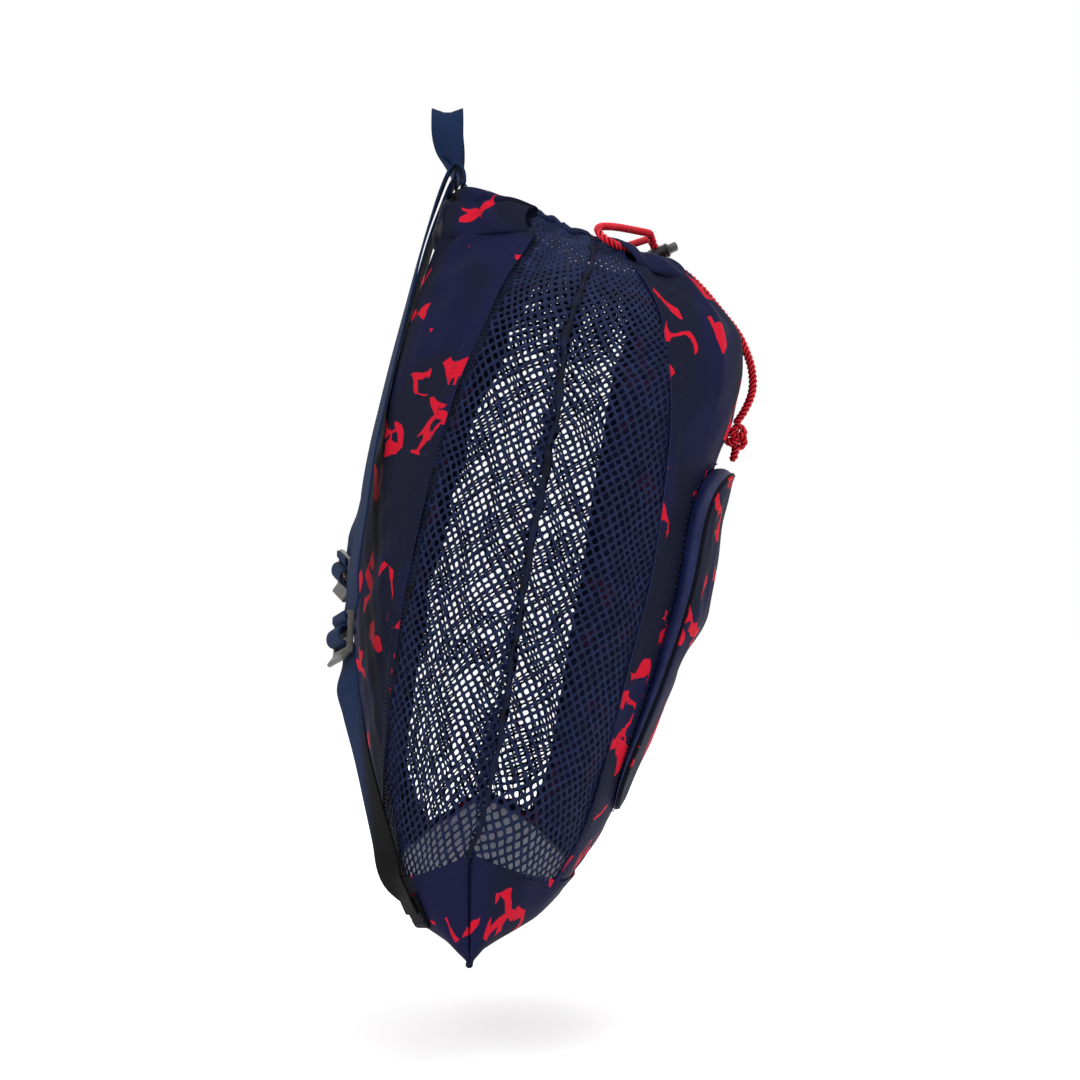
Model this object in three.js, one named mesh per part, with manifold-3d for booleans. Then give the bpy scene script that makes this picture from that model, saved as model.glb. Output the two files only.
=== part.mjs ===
// Mesh swim backpack with a drawcord mouth, hung by its grab loop.
// Millimetres, +Z up. The origin is the place where the loop hangs; the pocket faces -Y,
// the shoulder straps +Y, and the wearer's left is -X.
import * as THREE from 'three';
import { mergeVertices } from 'three/addons/utils/BufferGeometryUtils.js';
import Module from 'manifold-3d';

const wasm = await Module();
wasm.setup();

// Driving dimensions
const CLOTH = 1.4;                 // wall of the printed cloth and of the net
const GAP = 0.4;                   // clearance between neighbouring pieces
const NOSE = 2.3;                  // roundness of the body's sections at the side seams
const RUFFLES = 13;                // gathers round the mouth
const SEAM_WIDTH = 4;              // bound seam down the middle of each net side
const SEAM_PROUD = 1;              // how far that seam stands out of the net
const CASING_THICK_MIDDLE = 10;    // tunnel of the drawcord, across, at its middle
const CASING_THICK_END = 9.2;      // and at its open ends
const CASING_DEPTH_MIDDLE = 1.25;  // lower edge of the tunnel, in stations below the rim
const CASING_DEPTH_END = 0.85;
const CASING_END_LIFT = 3.4;       // the open ends ride up over the net's edge
const CORD_DIAMETER = 5;
const CORD_SIDES = 10;
const KNOT_LOOP = 4.4;             // loop radius of the overhand knot
const KNOT_STRAND = 2;
const KNOT_STEPS = 36;
const KNOT_SIDES = 6;
const WEBBING = 1.6;               // thickness of loop and straps
const LOOP_WIDTH = 20;
const STRAP_WIDTH = 25;
const POCKET_HALF_WIDTH = 95;
const POCKET_TOP = 4.8;            // stations
const POCKET_BOTTOM = 8.8;
const POCKET_CORNER = 4.5;         // power of the pocket's rounded outline
const GUSSET_TOP = 12;             // depth of the pocket's side band at the top
const GUSSET_BOTTOM = 2.3;
const GUSSET_TAPER = 1.5;
const POCKET_SEAT = 1.7;           // clearance under the pocket's band
const POCKET_EDGE = 3;             // power with which the pocket's cloth nears the band's edge
const NET_COLUMNS = 4;             // half pitches of the pierced net, across one piece
const NET_ROWS = 16;               // and down it
const NET_HOLE = 0.74;             // gap size over pitch
const PLUNGER_TRAVEL = 4;

// Sections of the body from the mouth to the bottom. Y and Z of the middle of the back, of the side seam
// and of the middle of the front; half width; depth power near the seam; how far the net reaches from the
// seam towards the back and the front (parts of a quarter turn), and on the right side towards the front,
// where the front panel comes further round; height of the gathers.
const COLUMNS = [
  'backY', 'backZ', 'seamY', 'seamZ', 'frontY', 'frontZ', 'halfWidth', 'corner', 'netBack', 'netFront',
  'netFrontFar', 'ruffle'];
const STATIONS = {
  rim:      [-10, -48, -91, -88, -129, -98, 74, 0.50, 0.24, 0.13, 0.13, 2.2],
  hem:      [3, -78, -89, -108, -156, -112, 99, 0.50, 0.27, 0.26, 0.26, 2.4],
  neck:     [14, -104, -81, -131, -178, -133, 118, 0.50, 0.30, 0.32, 0.25, 1.8],
  shoulder: [25, -137, -74, -158, -187, -152, 134, 0.50, 0.32, 0.34, 0.21, 0.8],
  chest:    [38, -183, -70, -192, -184, -183, 148, 0.50, 0.37, 0.38, 0.20, 0],
  upper:    [48, -236, -61, -240, -166, -238, 157, 0.50, 0.40, 0.46, 0.22, 0],
  middle:   [52, -294, -51, -293, -158, -296, 162, 0.50, 0.45, 0.46, 0.23, 0],
  belly:    [52, -348, -43, -341, -142, -351, 164, 0.50, 0.50, 0.46, 0.24, 0],
  lower:    [48, -399, -36, -387, -122.5, -401, 163, 0.48, 0.57, 0.49, 0.26, 0],
  hip:      [42, -446, -28, -425, -102.5, -446, 161, 0.46, 0.64, 0.52, 0.29, 0],
  baseTop:  [35, -478, -20, -451, -80, -480, 158, 0.45, 0.66, 0.53, 0.31, 0],
  baseMid:  [17, -503, -19, -486, -53, -506, 156, 0.43, 0.66, 0.53, 0.31, 0],
  bottom:   [-19, -513, -19, -516, -19, -513, 152, 0.46, 0.66, 0.53, 0.31, 0],
};
const ROWS = Object.values(STATIONS);
const LAST_ROW = ROWS.length - 1;
const BASE_ROW = Object.keys(STATIONS).indexOf('baseTop');
const ROW_GAP = 0.007;             // GAP as a part of the distance between two stations

const RED = new THREE.Color('#c8202f');
const NAVY = new THREE.Color('#1c1f45');
const LOOKS = {
  print: { color: NAVY, roughness: 0.75 },
  net: { color: new THREE.Color('#141c46'), roughness: 0.7 },
  navyWebbing: { color: new THREE.Color('#1f2f55'), roughness: 0.8 },
  blackWebbing: { color: new THREE.Color('#101014'), roughness: 0.8 },
  redCord: { color: RED, roughness: 0.6 },
  blackPlastic: { color: new THREE.Color('#141414'), roughness: 0.4 },
  greyPlastic: { color: new THREE.Color('#3a3a3c'), roughness: 0.45 },
  pocketTrim: { color: new THREE.Color('#1d2a58'), roughness: 0.7 },
};

const bag = new THREE.Group();
const { lerp, clamp, degToRad, radToDeg, smoothstep } = THREE.MathUtils;
const vec = (x, y, z) => new THREE.Vector3(x, y, z);

function addPiece(name, geometry, look, parent = bag) {
  const material = new THREE.MeshStandardMaterial({ metalness: 0, ...LOOKS[look] });
  const piece = new THREE.Mesh(geometry, material);
  piece.name = name;
  parent.add(piece);
  return piece;
}

function catmullRom(a, b, c, d, u) {
  return b + 0.5 * u * (c - a + u * (2 * a - 5 * b + 4 * c - d + u * (3 * (b - c) + d - a)));
}

// The section at a height given in stations from the rim
function section(v) {
  const i = Math.min(Math.floor(v), LAST_ROW - 1);
  const near = [-1, 0, 1, 2].map((step) => ROWS[clamp(i + step, 0, LAST_ROW)]);
  const between = (k) => catmullRom(...near.map((row) => row[k]), v - i);
  return Object.fromEntries(COLUMNS.map((name, k) => [name, between(k)]));
}

// A point of the body: theta 0 is the right seam, a quarter turn the back, a half turn the left seam
function ringPoint(theta, v) {
  const row = section(clamp(v, 0, LAST_ROW));
  const across = Math.abs(Math.cos(theta));
  const depth = Math.max(1 - across ** NOSE, 0) ** row.corner;
  const atBack = Math.sin(theta) >= 0;
  const y = lerp(row.seamY, atBack ? row.backY : row.frontY, depth);
  const z = lerp(row.seamZ, atBack ? row.backZ : row.frontZ, depth);
  const point = vec(row.halfWidth * Math.cos(theta), y, z);
  const outward = vec(point.x, y - (row.backY + row.frontY) / 2, 0).normalize();
  return point.addScaledVector(outward, row.ruffle * Math.cos(RUFFLES * (theta - Math.PI / 2)));
}

// Steps over which the slopes of the body are taken; below the lowest one the section closes up
const RING_STEP = 0.02;
const ROW_STEP = 0.05;
const LOWEST_SLOPE = LAST_ROW - 0.15;

function alongRing(theta, v) {
  const ahead = ringPoint(theta + RING_STEP, v);
  return ahead.sub(ringPoint(theta - RING_STEP, v)).divideScalar(2 * RING_STEP);
}

const arc = (theta, v, distance) => distance / alongRing(theta, v).length();

function ringNormal(theta, v) {
  const height = Math.min(v, LOWEST_SLOPE);
  const down = ringPoint(theta, height + ROW_STEP).sub(ringPoint(theta, height - ROW_STEP));
  return down.cross(alongRing(theta, height)).normalize();
}

const lifted = (theta, v, height) => ringPoint(theta, v).addScaledVector(ringNormal(theta, v), height);

function solidFrom(points, index) {
  const geometry = new THREE.BufferGeometry();
  const places = points.flatMap((p) => p.toArray());
  geometry.setAttribute('position', new THREE.Float32BufferAttribute(places, 3));
  geometry.setIndex(volume(points, index) < 0 ? index.reverse() : index);
  return geometry;
}

function volume(points, index) {
  let total = 0;
  for (let i = 0; i < index.length; i += 3) {
    const [a, b, c] = [points[index[i]], points[index[i + 1]], points[index[i + 2]]];
    total += a.dot(b.clone().cross(c)) / 6;
  }
  return total;
}

// A cloth wall: the outer triangles, the same ones further in, and a strip along every open edge
function shell(points, normals, triangles, thickness) {
  const count = points.length;
  const inner = points.map((p, i) => p.clone().addScaledVector(normals[i], -thickness));
  const index = [];
  const edges = new Map();
  for (const [a, b, c] of triangles) {
    index.push(a, b, c, count + a, count + c, count + b);
    [[a, b], [b, c], [c, a]].forEach((edge) => edges.set(edge.join(), edge));
  }
  for (const [from, to] of edges.values()) {
    if (!edges.has([to, from].join())) {
      index.push(to, from, count + from, to, count + from, count + to);
    }
  }
  return solidFrom([...points, ...inner], index);
}

// Cells of a grid with its first index along the ring and its second one downwards
function gridTriangles(columns, rows, at) {
  const triangles = [];
  for (let i = 0; i < columns; i++) {
    for (let j = 0; j < rows; j++) {
      triangles.push([at(i, j), at(i, j + 1), at(i + 1, j + 1)]);
      triangles.push([at(i, j), at(i + 1, j + 1), at(i + 1, j)]);
    }
  }
  return triangles;
}

// A section swept along frames of a place, a side and an outward direction, closed at both ends
function sweep(frames, outline) {
  const sides = outline.length;
  const points = frames.flatMap(({ place, side, out }) => outline.map(
    ([u, w]) => place.clone().addScaledVector(side, u).addScaledVector(out, w)));
  const index = [];
  for (let k = 0; k + 1 < frames.length; k++) {
    for (let s = 0; s < sides; s++) {
      const [a, b] = [k * sides + s, k * sides + (s + 1) % sides];
      index.push(a, b, b + sides, a, b + sides, a + sides);
    }
  }
  const end = (frames.length - 1) * sides;
  for (let s = 1; s + 1 < sides; s++) {
    index.push(0, s + 1, s, end, end + s, end + s + 1);
  }
  return solidFrom(points, index);
}

const bar = (width, thickness) => [
  [-width / 2, -thickness / 2], [width / 2, -thickness / 2],
  [width / 2, thickness / 2], [-width / 2, thickness / 2]];

const MERGE_DISTANCE = 1e-4;

function toManifold(geometry) {
  const bare = geometry.clone();
  bare.deleteAttribute('normal');
  bare.deleteAttribute('uv');
  const merged = mergeVertices(bare, MERGE_DISTANCE);
  return new wasm.Manifold(new wasm.Mesh({
    numProp: 3,
    vertProperties: new Float32Array(merged.attributes.position.array),
    triVerts: new Uint32Array(merged.index.array),
  }));
}

function fromManifold(manifold) {
  const { vertProperties, triVerts } = manifold.getMesh();
  const geometry = new THREE.BufferGeometry();
  geometry.setAttribute('position', new THREE.Float32BufferAttribute(vertProperties, 3));
  geometry.setIndex([...triVerts]);
  return geometry;
}

// Printed panels between the casings and the base; middle is the panel's middle line on the ring
const PANEL_COLUMNS = 12;
const PANEL_FROM = 1.5;            // below this station the rows are level; above it they follow the casing
const PANEL_STEP = 0.5;
const PANEL_TOP_PARTS = [0, 0.4];  // rows between the casing and that station
const PANEL_ROWS = [];
for (let v = PANEL_FROM; v < BASE_ROW; v += PANEL_STEP) {
  PANEL_ROWS.push(v);
}
PANEL_ROWS.push(BASE_ROW - ROW_GAP);

const casingDepth = (across) => lerp(CASING_DEPTH_MIDDLE, CASING_DEPTH_END, across * across);

function panelTheta(middle, columns, across, v, inset) {
  const reach = (1 - section(v)[columns[across > 0 ? 1 : 0]]) * Math.PI / 2;
  return middle + across * (reach - arc(middle + reach, v, inset));
}

function addPanel(name, middle, columns) {
  const points = [];
  const normals = [];
  const rowCount = PANEL_TOP_PARTS.length + PANEL_ROWS.length;
  for (let i = 0; i <= PANEL_COLUMNS; i++) {
    const across = 2 * i / PANEL_COLUMNS - 1;
    const top = casingDepth(across) + 2 * ROW_GAP;
    const rows = [...PANEL_TOP_PARTS.map((part) => lerp(top, PANEL_FROM, part)), ...PANEL_ROWS];
    rows.forEach((v) => {
      const theta = panelTheta(middle, columns, across, v, GAP);
      points.push(ringPoint(theta, v));
      normals.push(ringNormal(theta, v));
    });
  }
  const at = (i, j) => i * rowCount + j;
  addPiece(name, shell(points, normals, gridTriangles(PANEL_COLUMNS, rowCount - 1, at), CLOTH), 'print');
}

// Net columns on the two sides of a panel, in the sense in which the ring turns
const BESIDE_BACK = ['netBack', 'netBack'];
const BESIDE_FRONT = ['netFront', 'netFrontFar'];

addPanel('back_panel', Math.PI / 2, BESIDE_BACK);
addPanel('front_panel', -Math.PI / 2, BESIDE_FRONT);

// Printed base: a bowl whose front and back meet along the bottom edge
const BASE_COLUMNS = 32;
const BASE_STEPS = [ROW_GAP, 0.5, 1, 1.5];

function addBase() {
  const columns = BASE_COLUMNS;
  const rows = BASE_STEPS.map((step) => BASE_ROW + step);
  const points = [];
  const normals = [];
  const theta = (k) => 2 * Math.PI * k / columns;
  for (let k = 0; k < columns; k++) {
    rows.forEach((v) => {
      points.push(ringPoint(theta(k), v));
      normals.push(ringNormal(theta(k), v));
    });
  }
  for (let k = 0; k <= columns / 2; k++) {
    points.push(ringPoint(theta(k), LAST_ROW));
    normals.push(ringNormal(theta(k), LAST_ROW).add(ringNormal(-theta(k), LAST_ROW)).normalize());
  }
  const bottom = (k) => columns * rows.length + Math.min(k % columns, columns - k % columns);
  const at = (i, j) => (j === rows.length ? bottom(i) : (i % columns) * rows.length + j);
  addPiece('base_panel', shell(points, normals, gridTriangles(columns, rows.length, at), CLOTH), 'print');
}

addBase();

// Net sides: a lattice of diamonds, each pierced; the edge cells stay whole
const netHeight = (row) => row * (BASE_ROW - ROW_GAP) / NET_ROWS;

function addNet(name, thetaAt) {
  const points = [];
  const normals = [];
  const triangles = [];
  const known = new Map();
  const corner = (i, j) => {
    const key = [i, j].join();
    if (!known.has(key)) {
      const v = netHeight(j);
      const theta = thetaAt(i / NET_COLUMNS, v);
      known.set(key, points.length);
      points.push(ringPoint(theta, v));
      normals.push(ringNormal(theta, v));
    }
    return known.get(key);
  };
  const inNet = ([i, j]) => i >= 0 && i <= NET_COLUMNS && j >= 0 && j <= NET_ROWS;
  const around = [[0, -1], [-1, 0], [0, 1], [1, 0]];
  for (let i = 0; i <= NET_COLUMNS; i++) {
    for (let j = 0; j <= NET_ROWS; j++) {
      if ((i + j) % 2 === 0) {
        continue;
      }
      const inside = i > 0 && i < NET_COLUMNS && j > 0 && j < NET_ROWS;
      for (let k = 0; k < around.length; k++) {
        const [[di, dj], [ei, ej]] = [around[k], around[(k + 1) % around.length]];
        const cell = [[i + di, j + dj], [i + ei, j + ej]];
        if (inside) {
          const [a, b] = cell.map(([ci, cj]) => corner(ci, cj));
          const hole = cell.map(([ci, cj]) => corner(lerp(i, ci, NET_HOLE), lerp(j, cj, NET_HOLE)));
          triangles.push([a, b, hole[1]], [a, hole[1], hole[0]]);
        } else if (cell.every(inNet)) {
          triangles.push([...cell.map(([ci, cj]) => corner(ci, cj)), corner(i, j)]);
        }
      }
    }
  }
  addPiece(name, shell(points, normals, triangles, CLOTH), 'net');
}

const SEAM_CLEAR = 2.5 * GAP;
const SEAM_PASSES = 4;             // trials that find the distance beside a seam

// The place on the ring at a straight distance from a side seam
function besideSeam(seam, turn, v, distance) {
  let step = arc(seam, v, distance);
  for (let pass = 0; pass < SEAM_PASSES; pass++) {
    step *= distance / ringPoint(seam, v).distanceTo(ringPoint(seam + turn * step, v));
  }
  return seam + turn * step;
}

// A bound seam that lies between the two net pieces of a side
function addSideSeam(name, theta) {
  const frames = [];
  for (let j = 0; j <= NET_ROWS; j++) {
    const v = netHeight(j);
    const out = ringNormal(theta, v);
    const place = lifted(theta, v, (SEAM_PROUD - CLOTH) / 2);
    frames.push({ place, side: alongRing(theta, v).normalize(), out });
  }
  addPiece(name, sweep(frames, bar(SEAM_WIDTH, CLOTH + SEAM_PROUD)), 'net');
}

const NET_SIDES = { left: Math.PI, right: 0 };
for (const [sideName, seam] of Object.entries(NET_SIDES)) {
  const onRight = sideName === 'right';
  const towardsBack = onRight ? 1 : -1;
  const frontColumn = onRight ? 'netFrontFar' : 'netFront';
  const halves = [['back', towardsBack, 'netBack'], ['front', -towardsBack, frontColumn]];
  for (const [halfName, turn, column] of halves) {
    const reach = (v) => section(v)[column] * Math.PI / 2;
    const from = (v) => besideSeam(seam, turn, v, SEAM_WIDTH / 2 + SEAM_CLEAR);
    const to = (v) => seam + turn * (reach(v) - arc(seam + turn * reach(v), v, GAP));
    const thetaAt = (s, v) => (turn > 0 ? lerp(from(v), to(v), s) : lerp(to(v), from(v), s));
    addNet(`net_${sideName}_${halfName}`, thetaAt);
  }
  addSideSeam(`side_seam_${sideName}`, seam);
}

// Casings: hollow tunnels along the mouth, open at both ends
const CASING_COLUMNS = 14;
const CASING_SIDES = 8;

function addCasing(name, middle, columns) {
  const points = [];
  for (let i = 0; i <= CASING_COLUMNS; i++) {
    const across = 2 * i / CASING_COLUMNS - 1;
    const depth = casingDepth(across);
    const thick = lerp(CASING_THICK_MIDDLE, CASING_THICK_END, across * across);
    const tall = ringPoint(middle, 0).distanceTo(ringPoint(middle, depth));
    for (const wall of [0, CLOTH]) {
      for (let s = 0; s < CASING_SIDES; s++) {
        const turn = 2 * Math.PI * s / CASING_SIDES;
        const v = depth / 2 * (1 - (1 - 2 * wall / tall) * Math.cos(turn));
        const theta = panelTheta(middle, columns, across, v, 2 * GAP);
        const rise = CASING_END_LIFT * across * across;
        points.push(lifted(theta, v, rise + (thick / 2 - wall) * Math.sin(turn)));
      }
    }
  }
  const at = (i, ring, s) => (2 * i + ring) * CASING_SIDES + s % CASING_SIDES;
  const index = [];
  const quad = (a, b, c, d) => index.push(a, b, c, a, c, d);
  for (let s = 0; s < CASING_SIDES; s++) {
    for (let i = 0; i < CASING_COLUMNS; i++) {
      quad(at(i, 0, s), at(i + 1, 0, s), at(i + 1, 0, s + 1), at(i, 0, s + 1));
      quad(at(i, 1, s), at(i, 1, s + 1), at(i + 1, 1, s + 1), at(i + 1, 1, s));
    }
    quad(at(0, 0, s), at(0, 0, s + 1), at(0, 1, s + 1), at(0, 1, s));
    const end = CASING_COLUMNS;
    quad(at(end, 0, s), at(end, 1, s), at(end, 1, s + 1), at(end, 0, s + 1));
  }
  addPiece(name, solidFrom(points, index), 'print');
}

addCasing('casing_back', Math.PI / 2, BESIDE_BACK);
addCasing('casing_front', -Math.PI / 2, BESIDE_FRONT);

// Front pocket: a side band round a rounded outline, and the bulged cloth that closes it
const POCKET_SIDES = 32;
const POCKET_RINGS = [0.4, 0.75, 1];
const roundedPower = (value) => Math.sign(value) * Math.abs(value) ** (2 / POCKET_CORNER);

function pocketPlace(angle, radius) {
  const v = lerp(POCKET_TOP, POCKET_BOTTOM, (1 - radius * roundedPower(Math.sin(angle))) / 2);
  const x = radius * POCKET_HALF_WIDTH * roundedPower(Math.cos(angle));
  return [-Math.acos(x / section(v).halfWidth), v];
}

function gussetDepth(v) {
  const down = clamp((v - POCKET_TOP) / (POCKET_BOTTOM - POCKET_TOP), 0, 1);
  return lerp(GUSSET_TOP, GUSSET_BOTTOM, down ** GUSSET_TAPER);
}

// How far the middle of the pocket's cloth stands off the front panel: height in stations, distance.
// It bulges in its upper half and lies close to the panel below.
const POCKET_STAND = [[4.8, 9], [6.3, 11], [7, 4.4], [8, 3.7], [8.8, 3]];

function pocketStand(v) {
  const k = clamp(POCKET_STAND.findIndex(([height]) => height >= v), 1, POCKET_STAND.length - 1);
  const [[fromV, from], [toV, to]] = [POCKET_STAND[k - 1], POCKET_STAND[k]];
  return lerp(from, to, smoothstep(v, fromV, toV));
}

const BAND_CORNERS = 4;

function addGusset() {
  const points = [];
  for (let k = 0; k < POCKET_SIDES; k++) {
    const angle = 2 * Math.PI * k / POCKET_SIDES;
    const inner = 1 - CLOTH / POCKET_HALF_WIDTH;
    const depth = gussetDepth(pocketPlace(angle, 1)[1]);
    const corners = [[1, POCKET_SEAT], [1, depth], [inner, depth], [inner, POCKET_SEAT]];
    corners.forEach(([radius, height]) => points.push(lifted(...pocketPlace(angle, radius), height)));
  }
  const index = [];
  for (let k = 0; k < POCKET_SIDES; k++) {
    for (let s = 0; s < BAND_CORNERS; s++) {
      const [a, b] = [s, (s + 1) % BAND_CORNERS].map((corner) => BAND_CORNERS * k + corner);
      const [c, d] = [b, a].map((corner) => (corner + BAND_CORNERS) % points.length);
      index.push(a, b, c, a, c, d);
    }
  }
  addPiece('pocket_gusset', solidFrom(points, index), 'pocketTrim');
}

function addPocketFront() {
  const points = [];
  const normals = [];
  const rings = POCKET_RINGS.length;
  const push = (angle, radius) => {
    const [theta, v] = pocketPlace(angle, radius);
    const atBand = gussetDepth(pocketPlace(angle, 1)[1]) + 2 * GAP + CLOTH;
    points.push(lifted(theta, v, lerp(pocketStand(v), atBand, radius ** POCKET_EDGE)));
    normals.push(ringNormal(theta, v));
  };
  for (let k = 0; k < POCKET_SIDES; k++) {
    POCKET_RINGS.forEach((radius) => push(2 * Math.PI * k / POCKET_SIDES, radius));
  }
  push(0, 0);
  const centre = POCKET_SIDES * rings;
  const at = (i, j) => (i % POCKET_SIDES) * rings + j;
  const triangles = gridTriangles(POCKET_SIDES, rings - 1, at);
  for (let k = 0; k < POCKET_SIDES; k++) {
    triangles.push([centre, at(k, 0), at(k + 1, 0)]);
  }
  addPiece('pocket_front', shell(points, normals, triangles, CLOTH), 'print');
}

addGusset();
addPocketFront();

// Webbing: frames along a route of hand-chosen points, with a turn of the width about the upright axis
// and, where it lies on a slanted face, a lean of the width out of the level
function ribbonFrames(route, steps) {
  const curve = new THREE.CatmullRomCurve3(route.map(([x, y, z]) => vec(x, y, z)), false, 'centripetal');
  const twists = route.map(([, , , turn, lean = 0]) => vec(turn, lean, 0));
  const turns = new THREE.CatmullRomCurve3(twists, false, 'catmullrom');
  const frames = [];
  for (let k = 0; k <= steps; k++) {
    const at = k / steps;
    const twist = turns.getPoint(at);
    const turn = degToRad(twist.x);
    const tangent = curve.getTangent(at);
    const side = vec(Math.cos(turn), Math.sin(turn), twist.y);
    side.addScaledVector(tangent, -side.dot(tangent)).normalize();
    frames.push({ place: curve.getPoint(at), side, out: tangent.clone().cross(side).normalize() });
  }
  return frames;
}

// Grab loop: sewn flat behind the back casing, turned a quarter turn on its way up to the hook
const LOOP_ROUTE = [
  [0, 0.6, -54, 0], [0, -2.6, -47, 0], [-1, -3.4, -41, 4], [-3, -2.6, -33, 24], [-6, -1, -22, 62],
  [-8, 0, -12, 84], [-7.4, 0, -4.6, 90], [-4.4, 0, -0.4, 90], [0, 0, 0.8, 90], [4.4, 0, -0.4, 90],
  [7.4, 0, -4.6, 90],
  [8, 0, -12, 96], [6, -2, -22, 118], [3, -5, -33, 156], [1, -6, -41, 176], [0, -5.4, -45, 180]];
const LOOP_STEPS = 28;
const LOOP_SADDLE = 3.5;           // how far the loop's edges stand above its middle on the hook
const SADDLE_TALL = 16;            // the stretch below the hook over which that fades

function addGrabLoop() {
  const ring = bar(LOOP_WIDTH, WEBBING);
  const outline = [ring[0], [0, -WEBBING / 2], ring[1], ring[2], [0, WEBBING / 2], ring[3]];
  const frames = ribbonFrames(LOOP_ROUTE, LOOP_STEPS);
  const geometry = sweep(frames, outline);
  const place = geometry.attributes.position;
  frames.forEach((frame, k) => {
    const rise = LOOP_SADDLE * clamp(1 + frame.place.z / SADDLE_TALL, 0, 1);
    outline.forEach(([u], s) => {
      const corner = k * outline.length + s;
      place.setZ(corner, place.getZ(corner) + (u === 0 ? 0 : rise));
    });
  });
  addPiece('grab_loop', geometry, 'navyWebbing');
}

addGrabLoop();

// Shoulder straps: a hairpin above the casing, then down the back to the ladder lock
const BUCKLE_WIDTH = 31;
const BUCKLE_THICK = 4;
const BUCKLE_BARS = { top: [9.5, 13.5], middle: [-2, 2], bottom: [-12.5, -8] };
const BUCKLE_RIM = 2.6;
const LIP_TALL = 7;
const LIP_THICK = 3;
const LIP_TURN = -35;
const LIP_ROOT = [1.5, 0.6];       // where the lip joins the bottom bar: up the bar, out of its face
const BUCKLE_CORNER = 2;
const UPPER_STEPS = 48;
const LOWER_STEPS = 42;

const STRAPS = {
  left: {
    buckle: { place: [-89, 58.5, -329], turn: 22, roll: -12, pitch: 6 },
    anchor: { theta: Math.PI - 0.66, v: 10.62 },
    upper: [
      [-25.5, -11, -48.4, 8, 0.1], [-25.5, -10.6, -42, 8, 0.06], [-25.5, -8.6, -38, 7],
      [-25.5, -5.2, -36.8, 6], [-25.5, -1.8, -41, 3],
      [-26, 3.6, -54, 2], [-28, 9.6, -72, 4], [-34, 16.2, -96, 6], [-42, 23, -126, 9], [-50, 30, -156, 11],
      [-58, 36.6, -186, 12], [-67, 43, -218, 13], [-75, 48, -255, 15], [-81, 53, -289, 17]],
    lower: [
      [-95.5, 55.4, -360, 35], [-98, 52.2, -374, 33], [-103, 46.6, -398, 27], [-109, 39, -428, 29],
      [-114, 33.4, -448, 33], [-118, 28.6, -466, 37]],
  },
  right: {
    buckle: { place: [88, 73, -294], turn: 18, roll: 12, pitch: 0 },
    anchor: { theta: 0.66, v: 10.62 },
    upper: [
      [25.5, -11, -48.4, -8, -0.1], [25.5, -10.6, -42, -8, -0.06], [25.5, -8.6, -38, -7],
      [25.5, -5.2, -36.8, -6], [25.5, -1.8, -41, -3],
      [26, 3.8, -54, -2], [28, 10.4, -72, -4], [34, 18, -96, -5], [42, 27, -126, -6], [50, 36.4, -156, -7],
      [58, 44.6, -182, -7], [68, 52.8, -210, -4], [76, 60, -238, 3], [80.4, 63.6, -257, 10]],
    lower: [
      [94, 68, -332, 8], [99, 61.4, -364, -9], [105, 52, -402, -22], [111, 41, -434, -31],
      [114, 35, -448, -34], [118, 28.8, -466, -37]],
  },
};
// Route of a strap in its buckle's own frame: along the strap, out of its face
const UPPER_IN_BUCKLE = [
  [24, -4.6], [18, -4], [12.5, -3.5], [9.3, -3.3], [7.6, -1.6], [7.3, 0], [7.6, 1.6], [9.2, 3.1],
  [11, 3.3], [13.2, 3.2]];
const LOWER_IN_BUCKLE = [
  [-0.6, -3.4], [1.6, -3.4], [3.6, -2.3], [4.5, 0.4], [4.7, 3], [3.4, 5.4], [0, 6.6], [-3.6, 5.8],
  [-5.4, 3.4], [-5.4, 0], [-6.4, -2.8], [-9.6, -3.8], [-16, -4]];

function slab(width, bottom, top, thickness, holes = []) {
  const corner = BUCKLE_CORNER;
  const half = width / 2;
  const shape = new THREE.Shape();
  shape.moveTo(-half + corner, bottom);
  shape.lineTo(half - corner, bottom);
  shape.absarc(half - corner, bottom + corner, corner, -Math.PI / 2, 0);
  shape.absarc(half - corner, top - corner, corner, 0, Math.PI / 2);
  shape.absarc(-half + corner, top - corner, corner, Math.PI / 2, Math.PI);
  shape.absarc(-half + corner, bottom + corner, corner, Math.PI, 1.5 * Math.PI);
  for (const [low, high] of holes) {
    const reach = half - BUCKLE_RIM;
    shape.holes.push(new THREE.Path([[-reach, low], [-reach, high], [reach, high], [reach, low]].map(
      ([x, y]) => new THREE.Vector2(x, y))));
  }
  const settings = { depth: thickness, bevelEnabled: false, curveSegments: 3 };
  return new THREE.ExtrudeGeometry(shape, settings).translate(0, 0, -thickness / 2);
}

function buckleGeometry() {
  const { top, middle, bottom } = BUCKLE_BARS;
  const slots = [[bottom[1], middle[0]], [middle[1], top[0]]];
  const frame = slab(BUCKLE_WIDTH, bottom[0], top[1], BUCKLE_THICK, slots);
  const lip = slab(BUCKLE_WIDTH, -LIP_TALL, LIP_THICK / 3, LIP_THICK);
  lip.rotateX(degToRad(LIP_TURN)).translate(0, bottom[0] + LIP_ROOT[0], LIP_ROOT[1]);
  return fromManifold(toManifold(frame).add(toManifold(lip)));
}

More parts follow.
